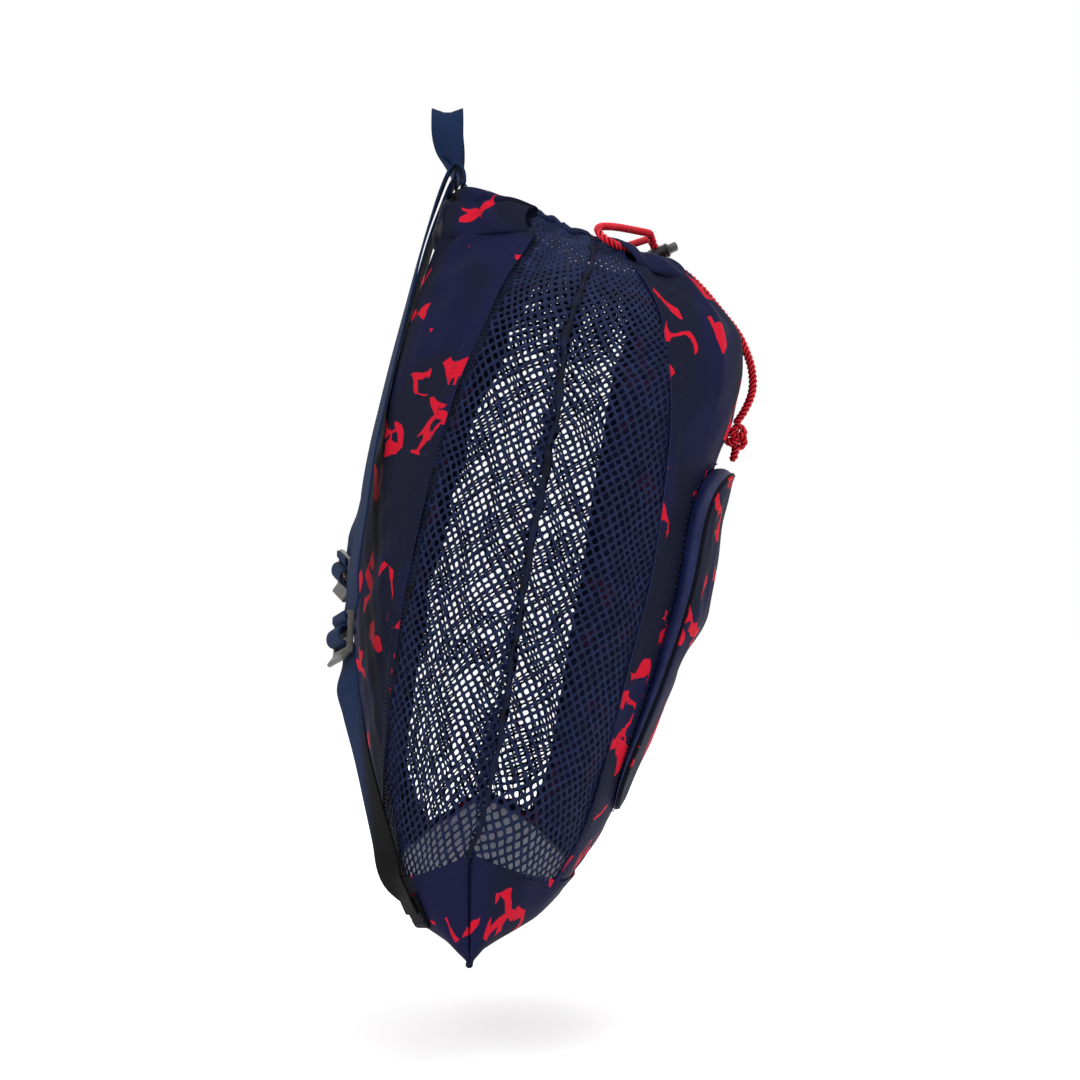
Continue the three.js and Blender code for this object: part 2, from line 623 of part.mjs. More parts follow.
function addShoulderStrap(name, { buckle, anchor, upper, lower }) {
  const turn = degToRad(buckle.turn);
  const lean = Math.tan(degToRad(buckle.roll));
  const across = vec(Math.cos(turn), Math.sin(turn), lean).normalize();
  const out = vec(-Math.sin(turn), Math.cos(turn), 0).applyAxisAngle(across, degToRad(buckle.pitch));
  const up = across.clone().cross(out);
  const place = vec(...buckle.place);
  const inBuckle = ([along, clear]) => {
    const point = place.clone().addScaledVector(out, clear).addScaledVector(up, along);
    return [...point.toArray(), buckle.turn, lean];
  };
  const upperRoute = [...upper, ...UPPER_IN_BUCKLE.map(inBuckle)];
  const upperFrames = ribbonFrames(upperRoute, UPPER_STEPS);
  addPiece(`strap_${name}_upper`, sweep(upperFrames, bar(STRAP_WIDTH, WEBBING)), 'navyWebbing');

  const lock = addPiece(`buckle_${name}`, buckleGeometry(), 'greyPlastic');
  lock.setRotationFromMatrix(new THREE.Matrix4().makeBasis(across.negate(), up, out));
  lock.position.copy(place);

  const tab = tabFrame(anchor);
  const tabTurn = radToDeg(Math.atan2(-tab.side.y, -tab.side.x));
  const onTab = (part) => {
    const point = tab.face(TAB_THICK + GAP + WEBBING / 2).addScaledVector(tab.down, part * TAB_TALL);
    return [...point.toArray(), tabTurn, -tab.side.z / Math.hypot(tab.side.x, tab.side.y)];
  };
  const lowerRoute = [...LOWER_IN_BUCKLE.map(inBuckle), ...lower, onTab(-0.6), onTab(-0.3), onTab(0)];
  const lowerFrames = ribbonFrames(lowerRoute, LOWER_STEPS);
  addPiece(`strap_${name}_lower`, sweep(lowerFrames, bar(STRAP_WIDTH, WEBBING)), 'navyWebbing');
  addAnchor(`anchor_${name}`, anchor);
}

// Black tabs at the bottom corners that hold the lower straps
const TAB_WIDTH = 27;
const TAB_TALL = 20;
const TAB_THICK = 3;

function tabFrame({ theta, v }) {
  const out = ringNormal(theta, v);
  const side = alongRing(theta, v).normalize();
  return { out, side, down: side.clone().cross(out), face: (height) => lifted(theta, v, height) };
}

function addAnchor(name, anchor) {
  const { out, side, down, face } = tabFrame(anchor);
  const frames = [-0.5, 0.5].map(
    (part) => ({ place: face(TAB_THICK / 2).addScaledVector(down, part * TAB_TALL), side, out }));
  addPiece(name, sweep(frames, bar(TAB_WIDTH, TAB_THICK)), 'blackWebbing');
}

for (const [name, strap] of Object.entries(STRAPS)) {
  addShoulderStrap(name, strap);
}

// Cord stop: an oval barrel and a sprung plunger, both slotted for the two cords
const LOCK_PLACE = vec(0, -134.4, -88.6);
const LOCK_TILT = 24;              // the plunger's end points up and forwards
const BARREL = { back: -9.6, front: 8, half: 4.6, widen: 2.05, corner: 1.6 };
const PLUNGER = { back: -4.6, front: 13.4, half: 3, widen: 2.45, corner: 0.9 };
const BORE = { back: -8.8, front: 12, half: PLUNGER.half + 0.3, widen: PLUNGER.widen, corner: 0.5 };
const SLOT_WIDE = 11.4;
const SLOT_TALL = CORD_DIAMETER + 2.5 * GAP;
const SLOT_THROUGH = 40;
const LOCK_SIDES = 16;

function ovalRod({ back, front, half, widen, corner }) {
  const profile = [
    [0, back], [half - corner, back], [half, back + corner],
    [half, front - corner], [half - corner, front], [0, front]];
  const rod = new THREE.LatheGeometry(profile.map(([r, y]) => new THREE.Vector2(r, y)), LOCK_SIDES);
  return rod.scale(widen, 1, 1);
}

function slotBox(low, high) {
  return new THREE.BoxGeometry(SLOT_WIDE, high - low, SLOT_THROUGH).translate(0, (low + high) / 2, 0);
}

const lockGroup = new THREE.Group();
lockGroup.position.copy(LOCK_PLACE);
lockGroup.rotation.x = degToRad(180 - LOCK_TILT);
bag.add(lockGroup);
const slot = toManifold(slotBox(-SLOT_TALL / 2, SLOT_TALL / 2));
const longSlot = toManifold(slotBox(-SLOT_TALL / 2, SLOT_TALL / 2 + PLUNGER_TRAVEL));
const barrel = toManifold(ovalRod(BARREL)).subtract(toManifold(ovalRod(BORE))).subtract(slot);
addPiece('cord_lock_barrel', fromManifold(barrel), 'blackPlastic', lockGroup);
const plunger = toManifold(ovalRod(PLUNGER)).subtract(longSlot);
addPiece('cord_lock_plunger', fromManifold(plunger), 'greyPlastic', lockGroup);

// Drawcord: out of each end of the front casing, over the rim, through the stop and down to the knot.
// Routes of the left cord; the right one mirrors them.
const CORD_ROUTE = [
  [-77.6, -112.2, -95.8], [-80, -109.6, -95.2], [-82.6, -106.8, -94.5], [-84.8, -103, -92.9],
  [-85.4, -98.6, -90.4],
  [-83.4, -95.2, -87], [-79, -94.2, -83.8], [-72.6, -96.2, -81.4], [-63, -101.4, -79.8], [-51, -108.4, -78.8],
  [-38, -115.8, -78.2], [-25, -122.8, -77.6], [-13.6, -128.4, -77.2], [-6, -129.9, -78.2],
  [-3, -131.4, -81.4], [-2.9, -134.4, -88.6], [-2.9, -137.2, -94.4], [-2.9, -143, -96.8],
  [-2.9, -152.4, -101.7], [-2.9, -162, -110.4], [-2.9, -177, -128.4], [-2.9, -185.4, -139.2],
  [-2.9, -190.2, -148.6], [-3.1, -194.6, -162], [-4.6, -195, -176], [-4.2, -190.4, -188],
  [-3, -184.6, -196.8]];
const CORD_STEPS = 30;
const KNOT_PLACE = vec(0, -184.6, -205.6);
const TAIL_ROUTE = [[-3.6, -184.6, -213], [-3.8, -183.6, -217], [-4.2, -182.2, -221]];
const TAIL_STEPS = 4;

function cordGeometry(route, steps, mirror) {
  const places = route.map(([x, y, z]) => vec(mirror * x, y, z));
  const curve = new THREE.CatmullRomCurve3(places, false, 'centripetal');
  const outline = [];
  for (let s = 0; s < CORD_SIDES; s++) {
    const turn = 2 * Math.PI * s / CORD_SIDES;
    outline.push(new THREE.Vector2(Math.cos(turn), Math.sin(turn)).multiplyScalar(CORD_DIAMETER / 2));
  }
  const round = new THREE.Shape(outline);
  return new THREE.ExtrudeGeometry(round, { steps, extrudePath: curve, bevelEnabled: false });
}

for (const [name, mirror] of [['left', 1], ['right', -1]]) {
  addPiece(`drawcord_${name}`, cordGeometry(CORD_ROUTE, CORD_STEPS, mirror), 'redCord');
  addPiece(`cord_tail_${name}`, cordGeometry(TAIL_ROUTE, TAIL_STEPS, mirror), 'redCord');
}
const knotGeometry = new THREE.TorusKnotGeometry(KNOT_LOOP, KNOT_STRAND, KNOT_STEPS, KNOT_SIDES);
const knot = addPiece('drawcord_knot', knotGeometry, 'redCord');
knot.position.copy(KNOT_PLACE);
knot.rotation.set(Math.PI / 2, 0, Math.PI / 2);

export default bag;
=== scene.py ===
"""Looks of a mesh swim backpack that hangs by its grab loop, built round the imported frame.
Tables and shapes are in millimetres; a piece is scaled to metres when it is made."""
import math

import bpy
import numpy as np
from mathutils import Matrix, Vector


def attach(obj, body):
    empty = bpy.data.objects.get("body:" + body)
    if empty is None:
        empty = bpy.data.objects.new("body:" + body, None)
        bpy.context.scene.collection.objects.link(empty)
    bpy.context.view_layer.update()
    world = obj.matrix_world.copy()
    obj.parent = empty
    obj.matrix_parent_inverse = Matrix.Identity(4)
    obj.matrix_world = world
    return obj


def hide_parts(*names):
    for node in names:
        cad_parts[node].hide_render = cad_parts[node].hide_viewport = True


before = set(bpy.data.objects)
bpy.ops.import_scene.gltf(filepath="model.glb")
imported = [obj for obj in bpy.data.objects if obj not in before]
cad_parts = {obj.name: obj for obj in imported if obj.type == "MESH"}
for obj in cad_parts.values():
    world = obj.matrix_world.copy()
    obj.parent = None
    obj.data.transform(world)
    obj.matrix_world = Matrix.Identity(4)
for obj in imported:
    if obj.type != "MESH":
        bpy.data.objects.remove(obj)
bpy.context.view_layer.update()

MM = 0.001
PI = math.pi
CLOTH = 1.0
NET_THICK = 1.1
CORD_DIAMETER = 5.0
WEBBING = 1.6


def placed(name, data):
    """A new object in the scene."""
    obj = bpy.data.objects.new(name, data)
    bpy.context.scene.collection.objects.link(obj)
    return obj


# Camera at the photograph's viewing angle
CAMERA_PLACE = (-1.4, -0.0592, -0.2714)
CAMERA_LENS, CAMERA_SENSOR = 72.92, 36
camera_data = bpy.data.cameras.new("camera")
camera_data.lens = CAMERA_LENS
camera_data.sensor_width = CAMERA_SENSOR
camera = placed("camera", camera_data)
camera.location = CAMERA_PLACE
camera.rotation_euler = (PI / 2, 0, -PI / 2)
bpy.context.scene.camera = camera

# Sections of the body from the mouth to the bottom: Y and Z of the middle of the back, of the side seam
# and of the middle of the front; half width; depth power; reach of the net to the back and to the front,
# and to the front on the right side; height of the gathers
COLUMNS = ["backY", "backZ", "seamY", "seamZ", "frontY", "frontZ", "halfWidth", "corner",
           "netBack", "netFront", "netFrontFar", "ruffle"]
STATIONS = np.array([
    [-10, -48, -91, -88, -129, -98, 74, .50, .24, .13, .13, 2.2],  # rim
    [3, -78, -89, -108, -156, -112, 99, .50, .27, .26, .26, 2.4],  # hem
    [14, -104, -81, -131, -178, -133, 118, .50, .30, .32, .25, 1.8],  # neck
    [25, -137, -74, -158, -187, -152, 134, .50, .32, .34, .21, .8],  # shoulder
    [38, -183, -70, -192, -184, -183, 148, .50, .37, .38, .20, 0],  # chest
    [48, -236, -61, -240, -166, -238, 157, .50, .40, .46, .22, 0],  # upper
    [52, -294, -51, -293, -158, -296, 162, .50, .45, .46, .23, 0],  # middle
    [52, -348, -43, -341, -142, -351, 164, .50, .50, .46, .24, 0],  # belly
    [48, -399, -36, -387, -122.5, -401, 163, .48, .57, .49, .26, 0],  # lower
    [42, -446, -28, -425, -102.5, -446, 161, .46, .64, .52, .29, 0],  # hip
    [35, -478, -20, -451, -80, -480, 158, .45, .66, .53, .31, 0],  # base top
    [17, -503, -19, -486, -53, -506, 156, .43, .66, .53, .31, 0],  # base middle
    [-19, -513, -19, -516, -19, -513, 152, .46, .66, .53, .31, 0],  # bottom
])
LAST_ROW = len(STATIONS) - 1
BASE_ROW = 10
NOSE = 2.3
RUFFLES = 13
BACK, FRONT, LEFT, RIGHT = PI / 2, -PI / 2, PI, 0.0
RING_STEP, ROW_STEP = 0.02, 0.05  # for directions on the body
STEADY_ROW = LAST_ROW - 0.1  # below it the front and the back meet
RIPPLE_WAVES = 7


def section(v):
    v = np.clip(np.asarray(v, float), 0, LAST_ROW)
    i = np.minimum(v.astype(int), LAST_ROW - 1)
    u = (v - i)[..., None]
    a, b, c, d = (STATIONS[np.clip(i + k, 0, LAST_ROW)] for k in (-1, 0, 1, 2))
    return b + 0.5 * u * (c - a + u * (2 * a - 5 * b + 4 * c - d + u * (3 * (b - c) + d - a)))


def column(v, name):
    return section(v)[..., COLUMNS.index(name)]


def ring_point(theta, v):
    """A point of the body: theta 0 is the right seam, a quarter turn the back, a half turn the left seam."""
    theta, v = np.broadcast_arrays(np.asarray(theta, float), np.asarray(v, float))
    row = dict(zip(COLUMNS, np.moveaxis(section(v), -1, 0)))
    depth = np.maximum(1 - np.abs(np.cos(theta)) ** NOSE, 0) ** row["corner"]
    at_back = np.sin(theta) >= 0
    x = row["halfWidth"] * np.cos(theta)
    y = row["seamY"] + (np.where(at_back, row["backY"], row["frontY"]) - row["seamY"]) * depth
    z = row["seamZ"] + (np.where(at_back, row["backZ"], row["frontZ"]) - row["seamZ"]) * depth
    out = unit(np.stack([x, y - (row["backY"] + row["frontY"]) / 2, 0 * x], -1))
    ruffle = row["ruffle"] * np.cos(RUFFLES * (theta - BACK))
    return np.stack([x, y, z], -1) + ruffle[..., None] * out


def unit(vectors):
    return vectors / np.maximum(np.linalg.norm(vectors, axis=-1, keepdims=True), 1e-9)


def along_ring(theta, v):
    step = ring_point(theta + RING_STEP, v) - ring_point(np.asarray(theta) - RING_STEP, v)
    return step / (2 * RING_STEP)


def arc(theta, v, distance):
    return distance / np.linalg.norm(along_ring(theta, v), axis=-1)


def ring_normal(theta, v):
    v = np.asarray(v, float)
    down = ring_point(theta, np.minimum(v + ROW_STEP, STEADY_ROW))
    down = down - ring_point(theta, np.clip(v - ROW_STEP, 0, STEADY_ROW - 2 * ROW_STEP))
    return unit(np.cross(down, along_ring(theta, np.minimum(v, STEADY_ROW))))


def lifted(theta, v, height):
    return ring_point(theta, v) + ring_normal(theta, v) * np.asarray(height, float)[..., None]


def smooth(low, high, x):
    t = np.clip((np.asarray(x, float) - low) / (high - low), 0, 1)
    return t * t * (3 - 2 * t)


def between(x, start, full, fading, end):
    """0 up to the start, 1 from full to fading, and 0 again from the end."""
    return smooth(start, full, x) * smooth(end, fading, x)


def mound(x, width):
    """1 at zero, and falling off softly on both sides."""
    return np.exp(-(x / width) ** 2)


def signed_power(value, power):
    return np.sign(value) * np.abs(value) ** power


def turns(count):
    """Even angles of one full turn."""
    return 2 * PI * np.arange(count) / count


def ripple(points, size, seed):
    """Soft bumps of about that size, mostly between -1 and 1."""
    rng = np.random.default_rng(seed)
    total = np.zeros(points.shape[:-1])
    for _ in range(RIPPLE_WAVES):
        direction = unit(rng.normal(size=3))
        wave = 2 * PI / (size * rng.uniform(0.7, 1.4))
        total += np.sin(points @ direction * wave + rng.uniform(0, 2 * PI))
    return total / math.sqrt(RIPPLE_WAVES)


def ripples(points, *rows):
    """A sum of ripples; each row has a height, a size and a seed."""
    return sum(height * ripple(points, size, seed) for height, size, seed in rows)


# Mesh helpers
def make_piece(name, points, faces, finish, nodes=(), uv=None, shade=None, body="bag", sharp=50):
    """Adds a mesh; shade is a number for each point that its material may turn into another tone: painted
    shade on the cord and the lower straps, the cloth's reverse on the panels and its pale lining in the
    base.
    """
    material, slot = finish
    mesh = bpy.data.meshes.new(name)
    mesh.from_pydata((np.asarray(points) * MM).tolist(), [], [list(map(int, f)) for f in faces])
    if uv is not None:
        corner = np.zeros(len(mesh.loops), int)
        mesh.loops.foreach_get("vertex_index", corner)
        mesh.uv_layers.new(name="flat").data.foreach_set("uv", (np.asarray(uv)[corner] * MM).ravel())
    if shade is not None:
        mesh.attributes.new("shade", "FLOAT", "POINT").data.foreach_set("value", np.ravel(shade))
    mesh.validate()
    mesh.shade_smooth()
    mesh.set_sharp_from_angle(angle=math.radians(sharp))
    mesh.materials.append(material)
    obj = placed(name, mesh)
    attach(obj, body)
    if nodes:
        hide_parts(*nodes)
    return obj


def closed(rows):
    """The rows with the first one again at the end."""
    return np.concatenate([rows, rows[:1]])


def grid_normals(grid, wrap=False):
    if wrap:
        across = np.roll(grid, -1, 0) - np.roll(grid, 1, 0)
    else:
        across = np.gradient(grid, axis=0)
    return unit(np.cross(np.gradient(grid, axis=1), across))


def grid_quads(at):
    """Faces between the neighbours in a grid of point numbers."""
    return np.stack([at[:-1, :-1], at[:-1, 1:], at[1:, 1:], at[1:, :-1]], -1).reshape(-1, 4)


def walls(outer, inner, wrap):
    """A cloth wall from an outer and an inner grid, with a rim along its open edges."""
    n, m = outer.shape[:2]
    at = np.arange(n * m).reshape(n, m)
    if wrap:
        at = closed(at)
    quads = grid_quads(at)
    lines = [at[:, 0], at[::-1, -1]]
    if not wrap:
        lines += [at[0, ::-1], at[-1, :]]
    rims = [np.stack([e[:-1], e[1:], e[1:] + n * m, e[:-1] + n * m], -1) for e in lines]
    faces = np.concatenate([quads, quads[:, ::-1] + n * m, *rims])
    return np.concatenate([outer.reshape(-1, 3), inner.reshape(-1, 3)]), faces


def shell(outer, thickness, wrap=False):
    """A cloth wall of that thickness inside a grid."""
    inner = outer - grid_normals(outer, wrap) * np.asarray(thickness, float)[..., None]
    return walls(outer, inner, wrap)


def sweep(rings):
    """Closed rings of points joined into a tube, with a face on each end."""
    at = np.arange(rings.shape[0] * rings.shape[1]).reshape(rings.shape[:2])
    quads = grid_quads(closed(at.T).T)
    return rings.reshape(-1, 3), [*quads.tolist(), at[0, ::-1].tolist(), at[-1].tolist()]


def route(rows, steps):
    """Points and further columns along a centripetal curve through the rows of a route."""
    rows = np.asarray(rows, float)
    rows = np.vstack([2 * rows[0] - rows[1], rows, 2 * rows[-1] - rows[-2]])
    found = []
    last = len(rows) - 4
    for i in range(last + 1):
        p0, p1, p2, p3 = rows[i:i + 4]
        d0, d1, d2 = (np.linalg.norm(q[:3] - p[:3]) ** 0.5 for p, q in ((p0, p1), (p1, p2), (p2, p3)))
        t1 = ((p1 - p0) / d0 - (p2 - p0) / (d0 + d1) + (p2 - p1) / d1) * d1
        t2 = ((p2 - p1) / d1 - (p3 - p1) / (d1 + d2) + (p3 - p2) / d2) * d1
        t1[3:], t2[3:] = (p2 - p0)[3:] / 2, (p3 - p1)[3:] / 2
        u = np.linspace(0, 1, steps + 1)[:steps + (i == last), None]
        found.append(p1 + u * (t1 + u * (3 * (p2 - p1) - 2 * t1 - t2 + u * (2 * (p1 - p2) + t1 + t2))))
    return np.vstack(found)


def lengths(line):
    return np.concatenate([[0], np.cumsum(np.linalg.norm(np.diff(line, axis=0), axis=1))])


def spaced(line, step):
    """The same line with even steps."""
    far = lengths(line)
    at = np.linspace(0, far[-1], max(2, int(round(far[-1] / step)) + 1))
    return np.stack([np.interp(at, far, line[:, k]) for k in range(line.shape[1])], -1)


def tube_frames(line):
    """Two directions across a line that turn with it and don't twist."""
    tangent = unit(np.gradient(line, axis=0))
    side = np.cross(tangent[0], (0, 0, 1) if abs(tangent[0, 2]) < 0.9 else (1, 0, 0))
    sides = []
    for t in tangent:
        side = unit(side - t * (side @ t))
        sides.append(side)
    sides = np.array(sides)
    return sides[:, None], np.cross(tangent, sides)[:, None]


def round_tube(line, radius, sides=10):
    a, b = tube_frames(line)
    turn = turns(sides)[:, None]
    radius = np.broadcast_to(radius, (len(line),))[:, None, None]
    return line[:, None] + radius * (a * np.cos(turn) + b * np.sin(turn))


def stitches(line, out, pitch=3.6, length=2.3, radius=0.34, shoulder=0.3):
    """Points and faces of a row of short thread stitches along a line."""
    table = spaced(np.hstack([line, out]), pitch)
    place, out = table[:, :3], unit(table[:, 3:])
    tangent = unit(np.gradient(place, axis=0))
    side = unit(np.cross(tangent, out))
    points, faces = [], []
    for p, t, o, s in zip(place, tangent, out, side):
        k = len(points)
        points.append(p - t * length / 2 - o * radius)
        for part in (-shoulder, shoulder):
            points += [p + t * part * length + radius * d for d in (s, o, -s, -o)]
        points.append(p + t * length / 2 - o * radius)
        for q in range(4):
            r = (q + 1) % 4
            a, b, c, d = k + 1 + q, k + 1 + r, k + 5 + r, k + 5 + q
            faces += [[k, b, a], [a, b, c, d], [k + 9, d, c]]
    return np.array(points), faces


def joined(parts):
    points, faces, count = [], [], 0
    for p, f in parts:
        points.append(np.asarray(p))
        faces += [[int(i) + count for i in face] for face in f]
        count += len(p)
    return np.concatenate(points), faces


def add_stitches(name, *rows):
    """Rows of stitches as one piece; each row is a line and the directions out of the cloth."""
    return make_piece(f"{name}_stitches", *joined([stitches(*row) for row in rows]), THREAD)


# Materials
WAVE_RADIANS = 20  # how far a wave texture turns in one unit at scale 1


def linear(text):
    parts = [int(text[i:i + 2], 16) / 255 for i in (1, 3, 5)]
    return [*(c / 12.92 if c < 0.04045 else ((c + 0.055) / 1.055) ** 2.4 for c in parts), 1]


def node(tree, kind, inputs, **settings):
    made = tree.nodes.new("ShaderNode" + kind)
    for key, value in settings.items():
        setattr(made, key, value)
    for key, value in inputs.items():
        if isinstance(value, bpy.types.NodeSocket):
            tree.links.new(value, made.inputs[key])
        else:
            made.inputs[key].default_value = value
    return made


def computed(tree, kind, operation, *values):
    return node(tree, kind, dict(enumerate(values)), operation=operation).outputs[0]


def new_material(name, **shader):
    made = bpy.data.materials.new(name)
    made.use_nodes = True
    bsdf = made.node_tree.nodes["Principled BSDF"]
    for key, value in shader.items():
        bsdf.inputs[key.replace("_", " ")].default_value = value
    return made, made.node_tree, bsdf


def noise(tree, scale, detail=2):
    where = node(tree, "TexCoord", {}).outputs["Object"]
    return node(tree, "TexNoise", {"Vector": where, "Scale": scale, "Detail": detail}).outputs["Fac"]


def mapped(tree, value, low, high, out_low=0.0, out_high=1.0):
    return node(tree, "MapRange", {"Value": value, "From Min": low, "From Max": high,
                                   "To Min": out_low, "To Max": out_high}).outputs["Result"]


def mixed(tree, share, a, b):
    return node(tree, "Mix", {0: share, 6: a, 7: b}, data_type="RGBA").outputs[2]


def bump(tree, bsdf, height, strength, distance):
    made = node(tree, "Bump", {"Height": height, "Strength": strength, "Distance": distance})
    tree.links.new(made.outputs["Normal"], bsdf.inputs["Normal"])


def waves(tree, period, turn):
    """Ribs of that period, in millimetres, across the flat cloth."""
    where = node(tree, "TexCoord", {}).outputs["UV"]
    where = node(tree, "Mapping", {"Vector": where, "Rotation": (0, 0, turn)}).outputs["Vector"]
    scale = 2 * PI / (WAVE_RADIANS * period * MM)
    return node(tree, "TexWave", {"Vector": where, "Scale": scale}, bands_direction="X").outputs["Fac"]


def point_shade(tree):
    return node(tree, "Attribute", {}, attribute_name="shade").outputs["Fac"]


def with_painted_shade(tree, colour, deep):
    """A colour that turns into a painted shade tone by the shade of the piece's points."""
    return mixed(tree, point_shade(tree), colour, linear(deep))


# Print: the place of its pattern, cells to the metre, and limits that turn noise into strokes
PRINT_SHIFT = (0.83, 0.73, 0.36)
DRIFT_CELLS, STROKE_CELLS, PATCH_CELLS, WIDTH_CELLS, TONE_CELLS = 34.0, 41.0, 54.0, 60.0, 15.0
DRIFT = (0.02, 0.02, 0.02)
PATCH_LIMITS, WIDTH_LIMITS, TONE_LIMITS = (0.8198, 0.82), (0.36, 0.64), (0.45, 0.54)
STROKE_WIDTHS, STROKE_SOFT = (0.05, 0.19), 0.012
GROUND_TONES = ("#171831", "#161826")
STROKE_TONE, REVERSE_TONE, LINING_TONE = "#a81528", "#34385e", "#e2e2ec"
REVERSE_SHADE = 0.5  # a shade that is all reverse; from there on the pale lining comes in


def print_material():
    """Short angular strokes: the borders of one set of cells, kept only inside some cells of another set."""
    made, tree, bsdf = new_material("print", Roughness=0.5, Specular_IOR_Level=0.006)
    where = node(tree, "TexCoord", {}).outputs["Object"]
    where = computed(tree, "VectorMath", "ADD", where, PRINT_SHIFT)
    drift = node(tree, "TexNoise", {"Vector": where, "Scale": DRIFT_CELLS, "Detail": 1.0}).outputs["Color"]
    where = computed(tree, "VectorMath", "MULTIPLY_ADD", drift, DRIFT, where)
    edge = node(tree, "TexVoronoi", {"Vector": where, "Scale": STROKE_CELLS}, feature="DISTANCE_TO_EDGE")
    cells = node(tree, "TexVoronoi", {"Vector": where, "Scale": PATCH_CELLS}).outputs["Color"]
    patch = node(tree, "SeparateColor", {"Color": cells}).outputs["Red"]
    kept = mapped(tree, patch, *PATCH_LIMITS)
    width = mapped(tree, noise(tree, WIDTH_CELLS, 1), *WIDTH_LIMITS, *STROKE_WIDTHS)
    inside = computed(tree, "Math", "SUBTRACT", width, edge.outputs["Distance"])
    stroke = computed(tree, "Math", "MULTIPLY", mapped(tree, inside, 0.0, STROKE_SOFT), kept)
    tone = mapped(tree, noise(tree, TONE_CELLS, 1), *TONE_LIMITS)
    ground = mixed(tree, tone, *map(linear, GROUND_TONES))
    colour = mixed(tree, stroke, ground, linear(STROKE_TONE))
    side = point_shade(tree)
    colour = mixed(tree, mapped(tree, side, 0.0, REVERSE_SHADE), colour, linear(REVERSE_TONE))
    colour = mixed(tree, mapped(tree, side, REVERSE_SHADE, 1.0), colour, linear(LINING_TONE))
    tree.links.new(colour, bsdf.inputs["Base Color"])
    bump(tree, bsdf, noise(tree, 1500.0), 0.12, 0.0006)
    return made


RIB_PERIOD, RIB_TURN, RIB_LIMITS = 1.1, math.radians(62), (0.2, 0.9)
# Painted shadow: the tone webbing turns to where its points are shaded, along the lower straps' far ends
PAINTED_SHADOW_TONE = "#050507"


def webbing_material(name, dark, light):
    """Slanted ribs of two tones, turning to a painted shadow tone where the points are shaded."""
    made, tree, bsdf = new_material(name, Roughness=0.7, Specular_IOR_Level=0.05)
    ribs = waves(tree, RIB_PERIOD, RIB_TURN)
    colour = mixed(tree, mapped(tree, ribs, *RIB_LIMITS), linear(dark), linear(light))
    tree.links.new(with_painted_shade(tree, colour, PAINTED_SHADOW_TONE), bsdf.inputs["Base Color"])
    bump(tree, bsdf, ribs, 0.5, 0.0005)
    return made


TONE_SIZE, FLECK_LIMITS = 12, (0.35, 0.65)  # changes of tone are so many times larger than the grain


def flecked_material(name, dark, light, rough, scale, strength, depth, gloss=0.1, deep="#000000"):
    """A plain finish with a soft change of tone and a fine grain, and a deep tone of painted shade where the
    points are shaded.
    """
    made, tree, bsdf = new_material(name, Roughness=rough, Specular_IOR_Level=gloss)
    tone = mapped(tree, noise(tree, scale / TONE_SIZE), *FLECK_LIMITS)
    colour = mixed(tree, tone, linear(dark), linear(light))
    tree.links.new(with_painted_shade(tree, colour, deep), bsdf.inputs["Base Color"])
    bump(tree, bsdf, noise(tree, scale), strength, depth)
    return made


# Finishes: a material and a slot name
# Flecked ones: dark and light tone, roughness, grain to the metre, its strength and depth, gloss, and the
# tone of painted shade
PRINT = print_material(), "print_fabric"
NET = flecked_material("net_yarn", "#0a1029", "#101a39", 0.6, 1800.0, 0.5, 0.0006), "mesh"
SEAM = flecked_material("seam_binding", "#04060f", "#0b112a", 0.7, 1800.0, 0.5, 0.0006), "mesh"
NAVY = webbing_material("navy_webbing", "#0c152b", "#192b4b"), "navy_webbing"
BLACK = webbing_material("black_webbing", "#08080b", "#101014"), "black_webbing"
TRIM = flecked_material("pocket_trim", "#101638", "#151d44", 0.5, 1500.0, 0.15, 0.0005, 0.15), "pocket_trim"
# The red cord's deep tone is painted shade, laid into the grooves between its strands
RED = (
    flecked_material("red_cord", "#b30d1f", "#cc2033", 0.5, 1600.0, 0.4, 0.0006, 0.2, "#4a030b"), "red_cord")
PLASTIC_BLACK = (
    flecked_material("black_plastic", "#0c0c0d", "#121213", 0.38, 900.0, 0.12, 0.0004, 0.3), "black_plastic")
PLASTIC_GREY = (
    flecked_material("grey_plastic", "#2e2d2b", "#3a3936", 0.42, 900.0, 0.12, 0.0004, 0.3), "grey_plastic")
THREAD = flecked_material("thread", "#0d1330", "#151d40", 0.6, 2000.0, 0.2, 0.0003), "navy_webbing"

# Drawcord: out of each end of the front casing, over the rim, through the stop and down to the knot
CORD_ROUTE = [
    [-77.6, -112.2, -95.8], [-80, -109.6, -95.2], [-82.6, -106.8, -94.5], [-84.8, -103, -92.9],
    [-85.4, -98.6, -90.4], [-83.4, -95.2, -87], [-79, -94.2, -83.8], [-72.6, -96.2, -81.4],
    [-63, -101.4, -79.8], [-51, -108.4, -78.8], [-38, -115.8, -78.2], [-25, -122.8, -77.6],
    [-13.6, -128.4, -77.2], [-6, -129.9, -78.2], [-3, -131.4, -81.4], [-2.9, -134.4, -88.6],
    [-2.9, -137.2, -94.4], [-2.9, -143, -96.8], [-2.9, -152.4, -101.7], [-2.9, -162, -110.4],
    [-2.9, -177, -128.4], [-2.9, -185.4, -139.2], [-2.9, -190.2, -148.6], [-3.1, -194.6, -162],
    [-4.6, -195, -176], [-4.2, -190.4, -188], [-3, -184.6, -196.8]]
TAIL_ROUTE = [[-3.6, -184.6, -212], [-3.8, -183.6, -217], [-4.2, -182.2, -221]]
CORD_STEP, TAIL_STEP, TAIL_TAPER = 0.8, 0.7, 2.0
KNOT_PLACE = (0, -184.6, -205.6)
KNOT_RADIUS, KNOT_TALL, KNOT_DIAMETER, KNOT_STEPS = 4.3, 1.05, 4.9, 221
ROPE_LAY = 9.3
ROPE_STRANDS = 3
ROPE_TURN = turns(24)
